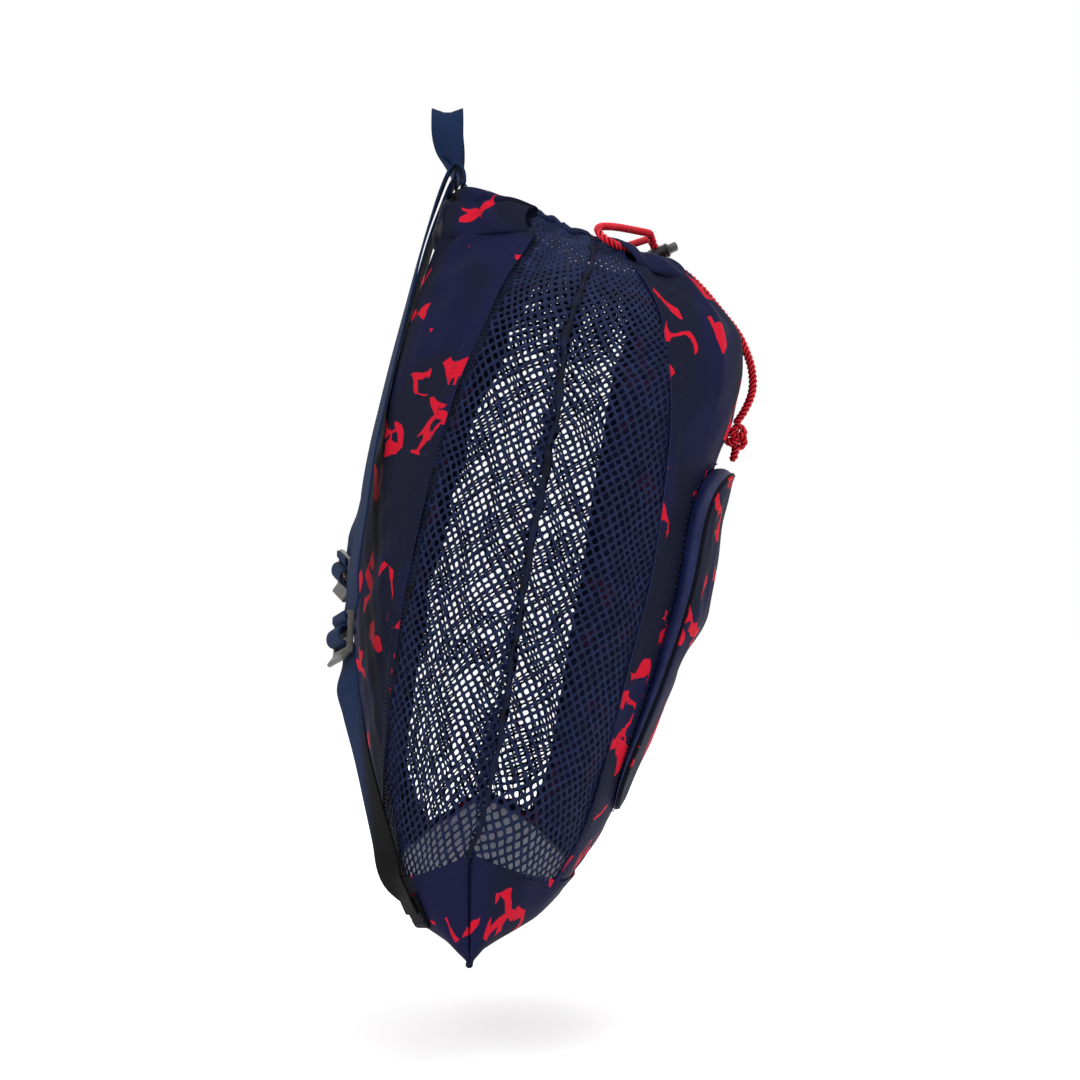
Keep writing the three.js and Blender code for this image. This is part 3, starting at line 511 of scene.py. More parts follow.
ROPE_LOBE = (ROPE_STRANDS * ROPE_TURN + PI) % (2 * PI) / ROPE_STRANDS - PI / ROPE_STRANDS
# Painted shade: 0 on a strand's crest, 1 deep in the groove between strands
ROPE_GROOVE_SHADE = (np.abs(ROPE_LOBE) * ROPE_STRANDS / PI) ** 2.5
ROPE_TIP = 0.35  # part of the thickness that is left where a rope tapers off


def rope(line, diameter, taper):
    """Rings of a laid rope: three strands that turn about the line."""
    a, b = tube_frames(line)
    far = lengths(line)
    strand = diameter / 2 / (1 + 2 / math.sqrt(3))
    centre = diameter / 2 - strand
    outward = np.maximum(strand ** 2 - (centre * np.sin(ROPE_LOBE)) ** 2, 0.02)
    radius = centre * np.cos(ROPE_LOBE) + np.sqrt(outward)
    shrink = np.ones(len(line))
    if taper:
        shrink = np.clip((far[-1] - far) / taper, ROPE_TIP, 1) ** 0.5
    angle = (ROPE_TURN + (2 * PI * far / ROPE_LAY)[:, None])[..., None]
    spread = (radius * shrink[:, None])[..., None]
    return line[:, None] + spread * (a * np.cos(angle) + b * np.sin(angle))


def add_rope(name, line, diameter=CORD_DIAMETER, taper=0.0):
    # The grooves between the strands get painted shade through the points' shade
    grooves = np.tile(ROPE_GROOVE_SHADE, len(line))
    rings = rope(line, diameter, taper)
    return make_piece(f"{name}_rope", *sweep(rings), RED, [name], shade=grooves, sharp=70)


def knot_line():
    """Two turns with three lobes."""
    u = np.linspace(0, 4 * PI, KNOT_STEPS)
    loop = KNOT_RADIUS * (2 + np.cos(1.5 * u)) / 2
    rise = KNOT_RADIUS * np.sin(1.5 * u) / 2
    return np.stack([rise, loop * np.cos(u), KNOT_TALL * loop * np.sin(u)], -1) + KNOT_PLACE


drawcords, tails, cord_lines = {}, {}, {}
for side_name, mirror in (("left", 1), ("right", -1)):
    cord_lines[side_name] = spaced(route(np.array(CORD_ROUTE) * (mirror, 1, 1), 12), CORD_STEP)
    drawcords[side_name] = add_rope(f"drawcord_{side_name}", cord_lines[side_name])
    tail_line = spaced(route(np.array(TAIL_ROUTE) * (mirror, 1, 1), 8), TAIL_STEP)
    tails[side_name] = add_rope(f"cord_tail_{side_name}", tail_line, taper=TAIL_TAPER)
knot = add_rope("drawcord_knot", knot_line(), KNOT_DIAMETER)

# Cord stop: an oval barrel and a sprung plunger, both slotted for the two cords
LOCK_PLACE = np.array([0, -134.4, -88.6])
LOCK_TILT = math.radians(24)
LOCK_AXIS = np.array([0, -math.cos(LOCK_TILT), math.sin(LOCK_TILT)])
LOCK_THROUGH = np.array([0, -math.sin(LOCK_TILT), -math.cos(LOCK_TILT)])
LOCK_SIDES = 48
CUT_SHARP = math.radians(35)


def in_lock(points):
    points = np.asarray(points, float)
    return LOCK_PLACE + points[:, :1] * (1, 0, 0) + points[:, 1:2] * LOCK_AXIS + points[:, 2:] * LOCK_THROUGH


def oval_rod(profile, widen):
    turn = -turns(LOCK_SIDES)
    rings = [np.stack([widen * r * np.cos(turn), 0 * turn + y, r * np.sin(turn)], -1) for r, y in profile]
    points, faces = sweep(np.array(rings))
    return in_lock(points), faces


def block(low, high):
    (x0, y0, z0), (x1, y1, z1) = low, high
    rings = [[[x0, y, z0], [x1, y, z0], [x1, y, z1], [x0, y, z1]] for y in (y0, y1)]
    points, faces = sweep(np.array(rings, float))
    return in_lock(points), faces


def cut(obj, *cutters):
    """Takes the cutters' shapes out of a piece."""
    for points, faces in cutters:
        mesh = bpy.data.meshes.new("cutter")
        mesh.from_pydata((points * MM).tolist(), [], faces)
        tool = placed("cutter", mesh)
        step = obj.modifiers.new("cut", "BOOLEAN")
        step.object = tool
        step.solver = "EXACT"
        apply_modifiers(obj)
        bpy.data.objects.remove(tool)
    obj.data.shade_smooth()
    obj.data.set_sharp_from_angle(angle=CUT_SHARP)


def apply_modifiers(obj):
    bpy.context.view_layer.update()
    ready = bpy.data.meshes.new_from_object(obj.evaluated_get(bpy.context.evaluated_depsgraph_get()))
    obj.modifiers.clear()
    obj.data = ready


def rounded(half, back, front, corner):
    """The two rounded ends of a rod's profile."""
    turn = np.linspace(0, PI / 2, 5)
    low = [(half - corner + corner * math.sin(t), back + corner - corner * math.cos(t)) for t in turn]
    high = [(half - corner + corner * math.cos(t), front - corner + corner * math.sin(t)) for t in turn]
    return low, high


# Half height, widening, ends along the axis and rounding of the two rods
BARREL_HALF, BARREL_WIDEN, BARREL_ENDS, BARREL_CORNER = 4.6, 2.05, (-9.6, 8), 1.6
PLUNGER_HALF, PLUNGER_WIDEN, PLUNGER_ENDS, PLUNGER_CORNER = 3.0, 2.45, (-4.6, 13.4), 1.0
BORE_CLEAR, BORE_ENDS = 0.3, (-8.8, 12)
SLOT_HALF, SLOT_BACK, SLOT_THROUGH = 5.7, -3, 20
BARREL_SLOT_FRONT, PLUNGER_SLOT_FRONT = 3, 7
GROOVE_DEEP, GROOVES_AT = 0.35, (-5.6, 5.2)
GROOVE = [(0, -0.8), (GROOVE_DEEP, -0.4), (GROOVE_DEEP, 0.4), (0, 0.8)]


def cord_slot(front):
    return block((-SLOT_HALF, SLOT_BACK, -SLOT_THROUGH), (SLOT_HALF, front, SLOT_THROUGH))


def add_barrel():
    low, high = rounded(BARREL_HALF, *BARREL_ENDS, BARREL_CORNER)
    grooves = [(BARREL_HALF - deep, place + step) for place in GROOVES_AT for deep, step in GROOVE]
    rod = oval_rod(low + grooves + high, BARREL_WIDEN)
    obj = make_piece("cord_lock_barrel_shell", *rod, PLASTIC_BLACK, ["cord_lock_barrel"])
    bore = oval_rod([(PLUNGER_HALF + BORE_CLEAR, end) for end in BORE_ENDS], PLUNGER_WIDEN)
    cut(obj, bore, cord_slot(BARREL_SLOT_FRONT))
    return obj


def add_plunger():
    low, high = rounded(PLUNGER_HALF, *PLUNGER_ENDS, PLUNGER_CORNER)
    rod = oval_rod(low + high, PLUNGER_WIDEN)
    obj = make_piece("cord_lock_plunger_button", *rod, PLASTIC_GREY, ["cord_lock_plunger"], body="plunger")
    cut(obj, cord_slot(PLUNGER_SLOT_FRONT))
    return obj


left_pieces = [knot, tails["left"], add_barrel(), add_plunger()]


CASING_MIDDLE = 1.25
CASING_END = {"back": 0.66, "front": 0.85}


def casing_depth(across, place):
    return CASING_MIDDLE + (CASING_END[place] - CASING_MIDDLE) * across ** 2


def panel_theta(middle, nets, across, v, inset):
    """The place on the ring at a part of the way to a panel's sides; nets are the columns beside it."""
    reach = (1 - np.where(np.asarray(across) > 0, column(v, nets[1]), column(v, nets[0]))) * PI / 2
    return middle + across * (reach - arc(middle + reach, v, inset))


# Panels: rows are in stations, and widths across a panel in parts of its half width
PANEL_STEPS = (96, 150)
PANEL_LIFT = 0.8
PANEL_LAP = 3.0  # how far a panel lies over the net
PANEL_REVERSE = 0.42  # shade of the panels' inner face
PANEL_START = 0.05  # how far a panel reaches up behind its casing
PANEL_SEAM = 3  # steps from a side to its stitches
PANEL_HEM, PANEL_HEM_EDGE, PANEL_EDGE = 0.5, (0.925, 0.935), (1.0, 0.86)
GATHER_HIGH, GATHER_TURNS, GATHER_ROW, GATHER_FADE = 1.6, 21, 1.1, 0.8
RIDGE_HIGH, RIDGE_PLACE, RIDGE_LEAN, RIDGE_WIDE, RIDGE_ROWS = 1.8, 0.56, 0.02, 0.05, (5.0, 3.4)
BEHIND_WIDE, BEHIND_ROWS, BEHIND_FLAT, BEHIND_SINK = 46, (4.6, 3.8), 0.95, 0.7
COVER_ROWS, COVER_SIDES, COVER_FLAT = (4.3, 5.0, 8.8, 9.4), (112, 96), 0.9
BULGE_HIGH, BULGE_WIDE, BULGE_ROWS = 5.2, 48, (4.6, 6.0, 8.0, 9.2)


def panel_height(points, across, v, seed, under_pocket):
    """Soft folds of a panel, gathers below its casing and a turned hem at its sides. The front is smooth
    behind the drawcord, ridged above the pocket and flat under it; the back bulges behind the straps."""
    x, beside = points[..., 0], np.abs(across)
    fade = np.exp(-np.maximum(v - GATHER_ROW, 0) / GATHER_FADE)
    gathers = GATHER_HIGH * fade * np.sin(across * GATHER_TURNS + ripples(points, (1.5, 60, seed + 1)))
    folds = ripples(points * (1, 1, 0.5), (1.1, 60, seed)) + ripples(points, (0.5, 26, seed + 2))
    loose, covered = gathers + folds, 0
    if under_pocket:
        behind_cord = mound(x, BEHIND_WIDE) * smooth(*BEHIND_ROWS, v)
        ridge = np.exp(-np.abs(beside - RIDGE_PLACE - RIDGE_LEAN * v) / RIDGE_WIDE) * smooth(*RIDGE_ROWS, v)
        loose = loose * (1 - BEHIND_FLAT * behind_cord) - BEHIND_SINK * behind_cord + RIDGE_HIGH * ridge
        covered = between(v, *COVER_ROWS) * smooth(*COVER_SIDES, np.abs(x))
    else:
        loose = loose + BULGE_HIGH * mound(x, BULGE_WIDE) * between(v, *BULGE_ROWS)
    height = PANEL_LIFT + loose * smooth(*PANEL_EDGE, beside)
    return height * (1 - COVER_FLAT * covered) + PANEL_HEM * smooth(*PANEL_HEM_EDGE, beside)


def add_panel(place, middle, nets, seed, under_pocket):
    name = f"{place}_panel"
    across = np.linspace(-1, 1, PANEL_STEPS[0] + 1)[:, None]
    down = np.linspace(0, 1, PANEL_STEPS[1] + 1)[None, :]
    top = casing_depth(across, place) - PANEL_START
    v = top + (BASE_ROW - top) * down
    theta = panel_theta(middle, nets, across, v, -PANEL_LAP)
    height = panel_height(ring_point(theta, v), across + 0 * v, v, seed, under_pocket)
    grid = lifted(theta, v, height)
    sides = np.repeat([0.0, PANEL_REVERSE], theta.size)
    obj = make_piece(f"{name}_cloth", *shell(grid, CLOTH), PRINT, [name], shade=sides)
    normals = grid_normals(grid)
    seams = add_stitches(name, *((grid[k], normals[k]) for k in (PANEL_SEAM, PANEL_STEPS[0] - PANEL_SEAM)))


BESIDE_BACK = ("netBack", "netBack")
BESIDE_FRONT = ("netFront", "netFrontFar")
add_panel("back", BACK, BESIDE_BACK, 11, under_pocket=False)
add_panel("front", FRONT, BESIDE_FRONT, 23, under_pocket=True)

# Base: a bowl whose front and back meet along the bottom edge, with a creased corner below each side seam
# Places down the base are parts of its height
BASE_STEPS = (240, 40)
BASE_LAP = 0.06  # how far it reaches up over the panels, in stations
BASE_SEAM = 4  # step down to its stitches
BASE_CROWD = 0.44  # how much closer the steps are at the two corners
BASE_LIFT, BASE_HEM, BASE_HEM_EDGE = 0.5, 0.5, (0.1, 0.06)
CREASE_DEEP, CREASE_WIDE, CREASE_END, CREASE_SMOOTH = 2.4, 1.5, (1.0, 0.9), (0, 14)
LOOSE_END, FOOT_END, FOOT_SINK, FOOT_FROM = (1.0, 0.8), (1.02, 0.93), 0.4, 0.93
HOLLOW_DEEP, HOLLOW_PLACE, HOLLOW_TALL = 3.2, 0.6, 0.22
LINING_EDGE, THIN_END, THINNEST = (0.03, 0.12), (1.0, 0.6), 0.02
WELT_RADIUS, WELT_RISE, WELT_STEPS = 2.2, 2.1, 90


def base_height(flat, theta, v, down):
    """Soft folds, a crease at each corner, a hem along the top and a hollow low on the front."""
    beside = np.abs(np.sin(theta)) * column(v, "halfWidth")
    loose = smooth(*LOOSE_END, down) * smooth(*CREASE_SMOOTH, beside)
    folds = loose * ripples(flat, (0.9, 55, 5), (0.5, 24, 6))
    crease = CREASE_DEEP * mound(beside, CREASE_WIDE) * smooth(*CREASE_END, down)
    hem = BASE_HEM * smooth(*BASE_HEM_EDGE, down) - FOOT_SINK * (down > FOOT_FROM)
    hollow = (np.sin(theta) < 0) * np.sin(theta) ** 2 * mound(down - HOLLOW_PLACE, HOLLOW_TALL)
    return (BASE_LIFT + folds - crease + hem - HOLLOW_DEEP * hollow) * smooth(*FOOT_END, down)


def add_base_edge():
    line = ring_point(np.linspace(PI, 0, WELT_STEPS), LAST_ROW)
    sway, rise = ripples(line, (0.4, 30, 7)), ripples(line, (0.3, 24, 8)) + WELT_RISE
    line = line + np.stack([0 * sway, sway, rise], -1)
    return make_piece("base_edge", *sweep(round_tube(line, WELT_RADIUS)), PRINT)


def add_base():
    even = turns(BASE_STEPS[0])[:, None]
    theta = even - BASE_CROWD * np.sin(2 * even)
    down = np.linspace(0, 1, BASE_STEPS[1] + 1)[None, :]
    v = BASE_ROW - BASE_LAP + (LAST_ROW - BASE_ROW + BASE_LAP) * down + 0 * theta
    flat = ring_point(theta, v)
    grid = flat + ring_normal(theta, v) * base_height(flat, theta, v, down)[..., None]
    thickness = CLOTH * smooth(*THIN_END, down) + THINNEST + 0 * theta
    lining = np.concatenate([0 * v, smooth(*LINING_EDGE, down) + 0 * theta])  # pale inside, below the hem
    cloth = shell(grid, thickness, wrap=True)
    obj = make_piece("base_panel_cloth", *cloth, PRINT, ["base_panel"], shade=lining)
    normals = grid_normals(grid, wrap=True)
    seam = add_stitches("base", (closed(grid[:, BASE_SEAM]), closed(normals[:, BASE_SEAM])))
    pieces = [seam, add_base_edge()]


add_base()

# Net sides: a knitted net of staggered round gaps, a little turned against the seam
NET_WIDE, NET_TALL = 6.5, 6.9  # pitch of the gaps across, and down
NET_TURN = math.radians(13)
NET_LAP = 4.0
NET_PULL, NET_UNEVEN, SEAM_HOLD = 1.5, 0.28, 12
NET_SPAN = 110
NET_ROWS, NET_PARTS, NET_OVER, NET_REACH = 161, 90, 1.34, 220.0
MOUTH_TIGHT, MOUTH_ROWS = 0.5, 3.2  # the net is bunched up to half its width at the mouth
SEAM_CLEAR, TOP_CLEAR, LOW_LAP = 0.8, 1, 3.5
NET_SINK, ALLOWANCE_SINK = 0.7, 2.6  # how far inside the body's surface
ALLOWANCE, ALLOWANCE_LEAST, ALLOWANCE_OPEN, ALLOWANCE_TURN = 7, 2.5, 0.62, -1.8
HOLE_CORNER, HOLE_EDGE, HOLE_UNEVEN = 0.61, 0.73, (0.9, 1.06)
NODE_HALF, YARN_HALF, GAP_HALF = 0.62, 0.5, 0.16  # half heights, in thicknesses of the net
AROUND = np.array([[2, 0], [1, 1], [0, 2], [-1, 1], [-2, 0], [-1, -1], [0, -2], [1, -1]])
HOLE = np.array([HOLE_CORNER, HOLE_EDGE] * 4)


def net_place(seam, turn, net):
    """Two functions of millimetres along the seam, and its length: one finds the place on the body that
    is so far beside the seam, the other how far the net reaches."""
    rows = np.linspace(0, BASE_ROW, NET_ROWS)
    parts = np.linspace(0, NET_OVER, NET_PARTS)
    theta = seam + turn * parts * (column(rows, net) * PI / 2)[:, None]
    arcs = np.array([lengths(line) for line in ring_point(theta, rows[:, None])])
    grid = np.arange(0, NET_REACH)
    inverse = np.array([np.interp(grid, a, parts) for a in arcs])
    width = np.array([np.interp(1, parts, a) for a in arcs])
    seam_line = lengths(ring_point(seam, rows))
    tight = MOUTH_TIGHT + (1 - MOUTH_TIGHT) * smooth(0, MOUTH_ROWS, rows)

    def row_at(w):
        return np.interp(np.clip(seam_line[-1] - w, 0, None), seam_line, rows)

    def place(u, w):
        v = row_at(w)
        far = np.clip(np.abs(u) * np.interp(v, rows, tight), 0, len(grid) - 2.001)
        r = np.clip(v / BASE_ROW * (len(rows) - 1), 0, len(rows) - 1.001)
        i, k = r.astype(int), far.astype(int)
        a, b = r - i, far - k
        part = (1 - a) * ((1 - b) * inverse[i, k] + b * inverse[i, k + 1])
        part = part + a * ((1 - b) * inverse[i + 1, k] + b * inverse[i + 1, k + 1])
        return seam + turn * np.sign(u) * part * column(v, net) * PI / 2, v

    def reach(w):
        v = row_at(w)
        return np.interp(v, rows, width) / np.interp(v, rows, tight)

    return place, reach, seam_line[-1]


def net_wave(points, v):
    """Loose waves of the net, and the bunching below the mouth."""
    bunched = np.exp(-v / 0.9) * ripples(points * (1, 1, 0.35), (2.2, 15, 32))
    return ripples(points, (0.9, 48, 31)) + bunched


def on_flat(lattice, lean, tall):
    """Millimetres beside and along the seam of places in the leaning lattice of gaps."""
    basis = np.array([[math.cos(lean), math.sin(lean)], [-math.sin(lean), math.cos(lean)]])
    return (lattice * (NET_WIDE / 2, NET_TALL / 2)) @ basis + (0, tall / 2)


def pulled(spots, seed):
    """The flat places of a net moved by uneven pulls across and along it, except at the seam."""
    flat = np.column_stack([spots, np.zeros(len(spots))])
    across, along = (ripples(flat, (NET_PULL, 58, s), (NET_UNEVEN, 12, s + 1)) for s in (seed, seed + 2))
    return spots + np.stack([across * smooth(0, SEAM_HOLD, spots[:, 0]), along], -1)


def net_tiles(limit, tall, lean):
    """The gaps of the lattice that lie between the seam and a limit."""
    a, b = np.meshgrid(np.arange(-NET_SPAN, NET_SPAN), np.arange(-NET_SPAN, NET_SPAN), indexing="ij")
    tiles = np.stack([a, b], -1)[(a + b) % 2 == 0]
    u, w = on_flat(tiles, lean, tall).T
    return tiles[(u > SEAM_CLEAR) & (u < limit(w)) & (w > -LOW_LAP) & (w < tall - TOP_CLEAR)]


def net_faces(number, ring, count):
    """Top faces from the borders of the tiles to their gaps, walls of the gaps, underside and outer edge."""
    next_number, next_ring = np.roll(number, -1, 1), np.roll(ring, -1, 1)
    top = np.stack([number, next_number, next_ring, ring], -1).reshape(-1, 4)
    gaps = np.stack([ring, next_ring, next_ring + count, ring + count], -1).reshape(-1, 4)
    pairs = np.stack([number, next_number], -1).reshape(-1, 2)
    _, where, uses = np.unique(np.sort(pairs, 1), axis=0, return_index=True, return_counts=True)
    start, end = pairs[where[uses == 1]].T
    border = np.stack([end, start, start + count, end + count], -1)
    return np.concatenate([top, gaps, top[:, ::-1] + count, border])


def net_part(place, limit, tall, lean, seed, sink, open_share=1.0):
    """Points and faces of a net from the seam out to a limit, so far inside the body's surface."""
    tiles = net_tiles(limit, tall, lean)
    rim = 2 * tiles[:, None] + AROUND
    keys, number = np.unique(rim.reshape(-1, 2), axis=0, return_inverse=True)
    spot = on_flat(tiles, lean, tall)
    shrink = open_share * (0.05 + 0.95 * smooth(-0.2, MOUTH_ROWS, place(spot[:, 0], spot[:, 1])[1]))
    shrink = shrink * np.random.default_rng(seed).uniform(*HOLE_UNEVEN, len(tiles))
    hole = (tiles[:, None] + shrink[:, None, None] * HOLE[:, None] * AROUND / 2).reshape(-1, 2)
    spots = pulled(on_flat(np.concatenate([keys / 2, hole]), lean, tall), seed)
    theta, v = place(spots[:, 0], spots[:, 1])
    base, normal = ring_point(theta, v), ring_normal(theta, v)
    yarn = np.where((keys % 2 == 0).all(1), NODE_HALF, YARN_HALF)
    half = np.concatenate([yarn, np.full(len(hole), GAP_HALF)]) * NET_THICK
    height = net_wave(base, v) - sink
    top, low = (base + normal * (height + side * half)[:, None] for side in (1, -1))
    ring = len(keys) + np.arange(len(hole)).reshape(-1, 8)
    faces = net_faces(number.reshape(-1, 8), ring, len(spots))
    p = top[faces[0]]
    if np.cross(p[1] - p[0], p[2] - p[1]) @ normal[faces[0, 0]] < 0:
        faces = faces[:, ::-1]
    return np.concatenate([top, low]), faces


def add_net(name, seam, turn, net, lean, seed):
    """One net half; on the back half the uneven allowance of the seam lies inside it."""
    place, reach, tall = net_place(seam, turn, net)

    def limit(w):
        return reach(w) + NET_LAP

    def allowance(w):
        line = np.stack([0 * w, 0 * w, w], -1)
        return np.maximum(ALLOWANCE + ripples(line, (5, 80, seed), (1.5, 13, seed + 1)), ALLOWANCE_LEAST)

    parts = [net_part(place, limit, tall, lean, seed, NET_SINK)]
    if net == "netBack":
        lean = ALLOWANCE_TURN * lean
        parts.append(net_part(place, allowance, tall, lean, seed + 7, ALLOWANCE_SINK, ALLOWANCE_OPEN))
    obj = make_piece(f"{name}_yarn", *joined(parts), NET, [name], sharp=80)
    w = np.linspace(0, tall, 60)
    u = np.linspace(0, 1, 30)[:, None] * reach(w)
    grid = ring_point(*place(u + 1e-6, np.broadcast_to(w, u.shape)))


BINDING_STEPS, BINDING_SIDES, BINDING_SQUARE = 320, 14, 0.7
BINDING_HALF, BINDING_RISE, BINDING_LIFT, BINDING_FOLLOW = 1.75, 1.4, 0.2, 0.8
RIM_STEPS, RIM_OVER, RIM_RADIUS, RIM_SINK, RIM_ROW = 160, 1.05, 2.0, 1.2, 0.02
HEM_STEPS, HEM_ROWS, HEM_THICK = (9, 900), (0.8, BASE_ROW - 0.05), 0.6
HEM_WIDE, HEM_LAP, HEM_RIB, HEM_RIB_HIGH, HEM_LIFT, HEM_DROOP = 9.5, 2, 2.7, 0.55, 0.3, 0.5


def add_side_seam(name, seam):
    """A bound, uneven seam between the two net pieces of a side."""
    v = np.linspace(0.0, BASE_ROW + 0.02, BINDING_STEPS)
    place = ring_point(seam, v)
    out = ring_normal(seam, v)
    side = unit(along_ring(seam, v))
    wide = BINDING_HALF + ripples(place, (0.5, 12, 41), (0.25, 5, 42))
    rise = net_wave(place, v) * BINDING_FOLLOW + BINDING_LIFT
    place = place + out * rise[:, None] + side * ripples(place, (0.7, 17, 43))[:, None]
    turn = turns(BINDING_SIDES)
    profile = signed_power(np.cos(turn), BINDING_SQUARE)
    rings = place[:, None] + (side * wide[:, None])[:, None] * profile[:, None]
    rings = rings + out[:, None] * (BINDING_RISE * np.sin(turn))[:, None]
    return make_piece(f"{name}_binding", *sweep(rings), SEAM, [name])


def add_net_rim(name, seam, towards_back):
    """The folded, gathered edge of the net between the two casings."""
    steps = np.linspace(-RIM_OVER, RIM_OVER, RIM_STEPS)
    reach = np.where(steps > 0, column(0, "netBack"), column(0, "netFront")) * PI / 2
    line = ring_point(seam + towards_back * steps * reach, RIM_ROW)
    line = line + np.stack([0 * steps, 0 * steps, ripples(line, (1.2, 10, 51)) - RIM_SINK], -1)
    rings = round_tube(line, RIM_RADIUS + ripples(line, (0.5, 7, 52)))
    return make_piece(name, *sweep(rings), NET)


def add_net_hem(name, seam, turn, seed):
    """The ribbed edge of a back net half beside the panel."""
    v = np.linspace(*HEM_ROWS, HEM_STEPS[1])[None, :]
    edge = seam + turn * column(v, "netBack") * PI / 2
    spot = ring_point(edge, v)
    part = np.linspace(0, 1, HEM_STEPS[0])[:, None]
    wide = HEM_WIDE + ripples(spot, (1.2, 34, seed), (0.6, 7, seed + 1))
    far = lengths(spot[0])[None, :]
    theta = edge - turn * arc(edge, v, wide * part - HEM_LAP)
    spot = ring_point(theta, v)
    ribs = HEM_RIB_HIGH * np.sin(2 * PI * far / HEM_RIB + ripples(spot, (0.8, 20, seed + 2)))
    height = net_wave(spot, v) + HEM_LIFT + ribs * smooth(0, 0.2, part) - HEM_DROOP * part ** 4
    grid = lifted(theta, v, height)
    return make_piece(name, *shell(grid if turn < 0 else grid[::-1], HEM_THICK), SEAM)


# Side, its seam, the turn from there to the back, the column of its front net and a seed
NET_SIDES = [("left", LEFT, -1, "netFront", 301), ("right", RIGHT, 1, "netFrontFar", 331)]
for side_name, seam, towards_back, front_net, seed in NET_SIDES:
    binding = add_side_seam(f"side_seam_{side_name}", seam)
    net_rim = add_net_rim(f"net_rim_{side_name}", seam, towards_back)
    hem = add_net_hem(f"net_hem_{side_name}", seam, towards_back, 37)
    add_net(f"net_{side_name}_back", seam, towards_back, "netBack", NET_TURN, seed)
    add_net(f"net_{side_name}_front", seam, -towards_back, front_net, -NET_TURN, seed + 10)

# Casings: gathered tunnels along the mouth, open at both ends
CASING_STEPS = (150, 52)
CASING_WALL, CASING_LAP, CASING_INSET = 1.2, 0.04, 0.8
CASING_THICK, CASING_THICK_END = 10, 9.2
CASING_END_RISE, CASING_SINK = 2.0, 0.4
PLEAT_HIGH, PLEAT_TURNS, PLEAT_EDGE = 1.5, 17, (1.0, 0.85)
FOLD_TURN, FOLD_BOW, FOLD_SPAN, FOLD_SIDES = 1.35, 0.35, 0.16, (0.1, 0.35)


def add_casing(place, middle, nets, seed, plump, crease, open_end):
    """The tunnel turns from its top edge over its outer face; crease is the depth of a fold along it."""
    name = f"casing_{place}"
    across = np.linspace(-1, 1, CASING_STEPS[0] + 1)[None, :]
    beside = np.abs(across)
    turn = turns(CASING_STEPS[1])[:, None]
    depth = casing_depth(across, place) + CASING_LAP
    tall = np.linalg.norm(ring_point(middle, 0 * depth) - ring_point(middle, depth), axis=-1)
    thick = (CASING_THICK + (CASING_THICK_END - CASING_THICK) * across ** 2) * plump
    fold = mound(turn - FOLD_TURN + FOLD_BOW * across ** 2, FOLD_SPAN) * smooth(*FOLD_SIDES, beside)
    grids = []
    for inside in (0.0, CASING_WALL):
        v = depth / 2 * (1 - (1 - 2 * inside / tall) * np.cos(turn))
        inset = CASING_INSET + open_end * np.maximum(np.sin(turn), 0)
        theta = panel_theta(middle, nets, across, v, inset)
        spot = ring_point(theta, v)
        pleats = PLEAT_HIGH * np.sin(across * PLEAT_TURNS + ripples(spot, (2.2, 50, seed)))
        folds = pleats + ripples(spot, (1.2, 20, seed + 1))
        folds = folds * smooth(*PLEAT_EDGE, beside) * np.abs(np.sin(turn)) ** 0.5
        height = CASING_END_RISE * across ** 2 - CASING_SINK - crease * fold
        grids.append(lifted(theta, v, height + (thick / 2 - inside + folds) * np.sin(turn)))
    obj = make_piece(f"{name}_cloth", *walls(*grids, wrap=True), PRINT, [name])
    around = closed(grids[0]).transpose(1, 0, 2)


add_casing("back", BACK, BESIDE_BACK, 61, plump=1.15, crease=3.2, open_end=6.0)
add_casing("front", FRONT, BESIDE_FRONT, 71, plump=1.0, crease=1.2, open_end=0.0)

# Front pocket: a side band round a rounded outline, piping along its edge, and the bulged cloth on it
POCKET_HALF_WIDTH, POCKET_TOP, POCKET_BOTTOM, POCKET_CORNER = 95, 4.8, 8.8, 4.5
GUSSET_TOP, GUSSET_BOTTOM, GUSSET_TAPER = 12, 1.2, 1.5
GUSSET_STEPS, GUSSET_BOW, GUSSET_WALL, GUSSET_FOOT, GUSSET_SHORT = 11, 1.2, 1.2, 1.0, 0.6
POCKET_SIDES, POCKET_RINGS, POCKET_CENTRE = 200, 40, 0.02
POCKET_EDGE, POCKET_OVER = 3, 1.4
PIPING_RADIUS, PIPING_LIFT = 0.9, 0.6
POCKET_SEAM_WIDER, POCKET_SEAM_LIFT, POCKET_SEAM_LOWER = 1.028, 1.2, 0.4
# How far the middle of the pocket's cloth stands off the front panel: height in stations, distance
POCKET_STAND = np.array([[4.8, 9], [6.3, 11], [7, 4.4], [8, 3.7], [8.8, 3]])


def rounded_square(angle):
    return [signed_power(wave(angle), 2 / POCKET_CORNER) for wave in (np.cos, np.sin)]


def pocket_place(angle, radius):
    across, up = rounded_square(angle)
    v = POCKET_TOP + (POCKET_BOTTOM - POCKET_TOP) * (1 - radius * up) / 2
    return -np.arccos(radius * POCKET_HALF_WIDTH * across / column(v, "halfWidth")), v


def pocket_angles():
    """Angles that are even along the rounded outline, so that the corners aren't cut."""
    angle = turns(POCKET_SIDES)
    far = lengths(closed(np.stack(rounded_square(angle), -1)))
    even = np.linspace(0, far[-1], POCKET_SIDES, endpoint=False)
    return np.interp(even, far, np.append(angle, 2 * PI))[:, None]


def gusset_depth(v):
    down = np.clip((v - POCKET_TOP) / (POCKET_BOTTOM - POCKET_TOP), 0, 1)
    return GUSSET_TOP + (GUSSET_BOTTOM - GUSSET_TOP) * down ** GUSSET_TAPER


def pocket_stand(v):
    heights, stands = POCKET_STAND.T
    k = np.clip(np.searchsorted(heights, v), 1, len(heights) - 1)
    return stands[k - 1] + (stands[k] - stands[k - 1]) * smooth(heights[k - 1], heights[k], v)


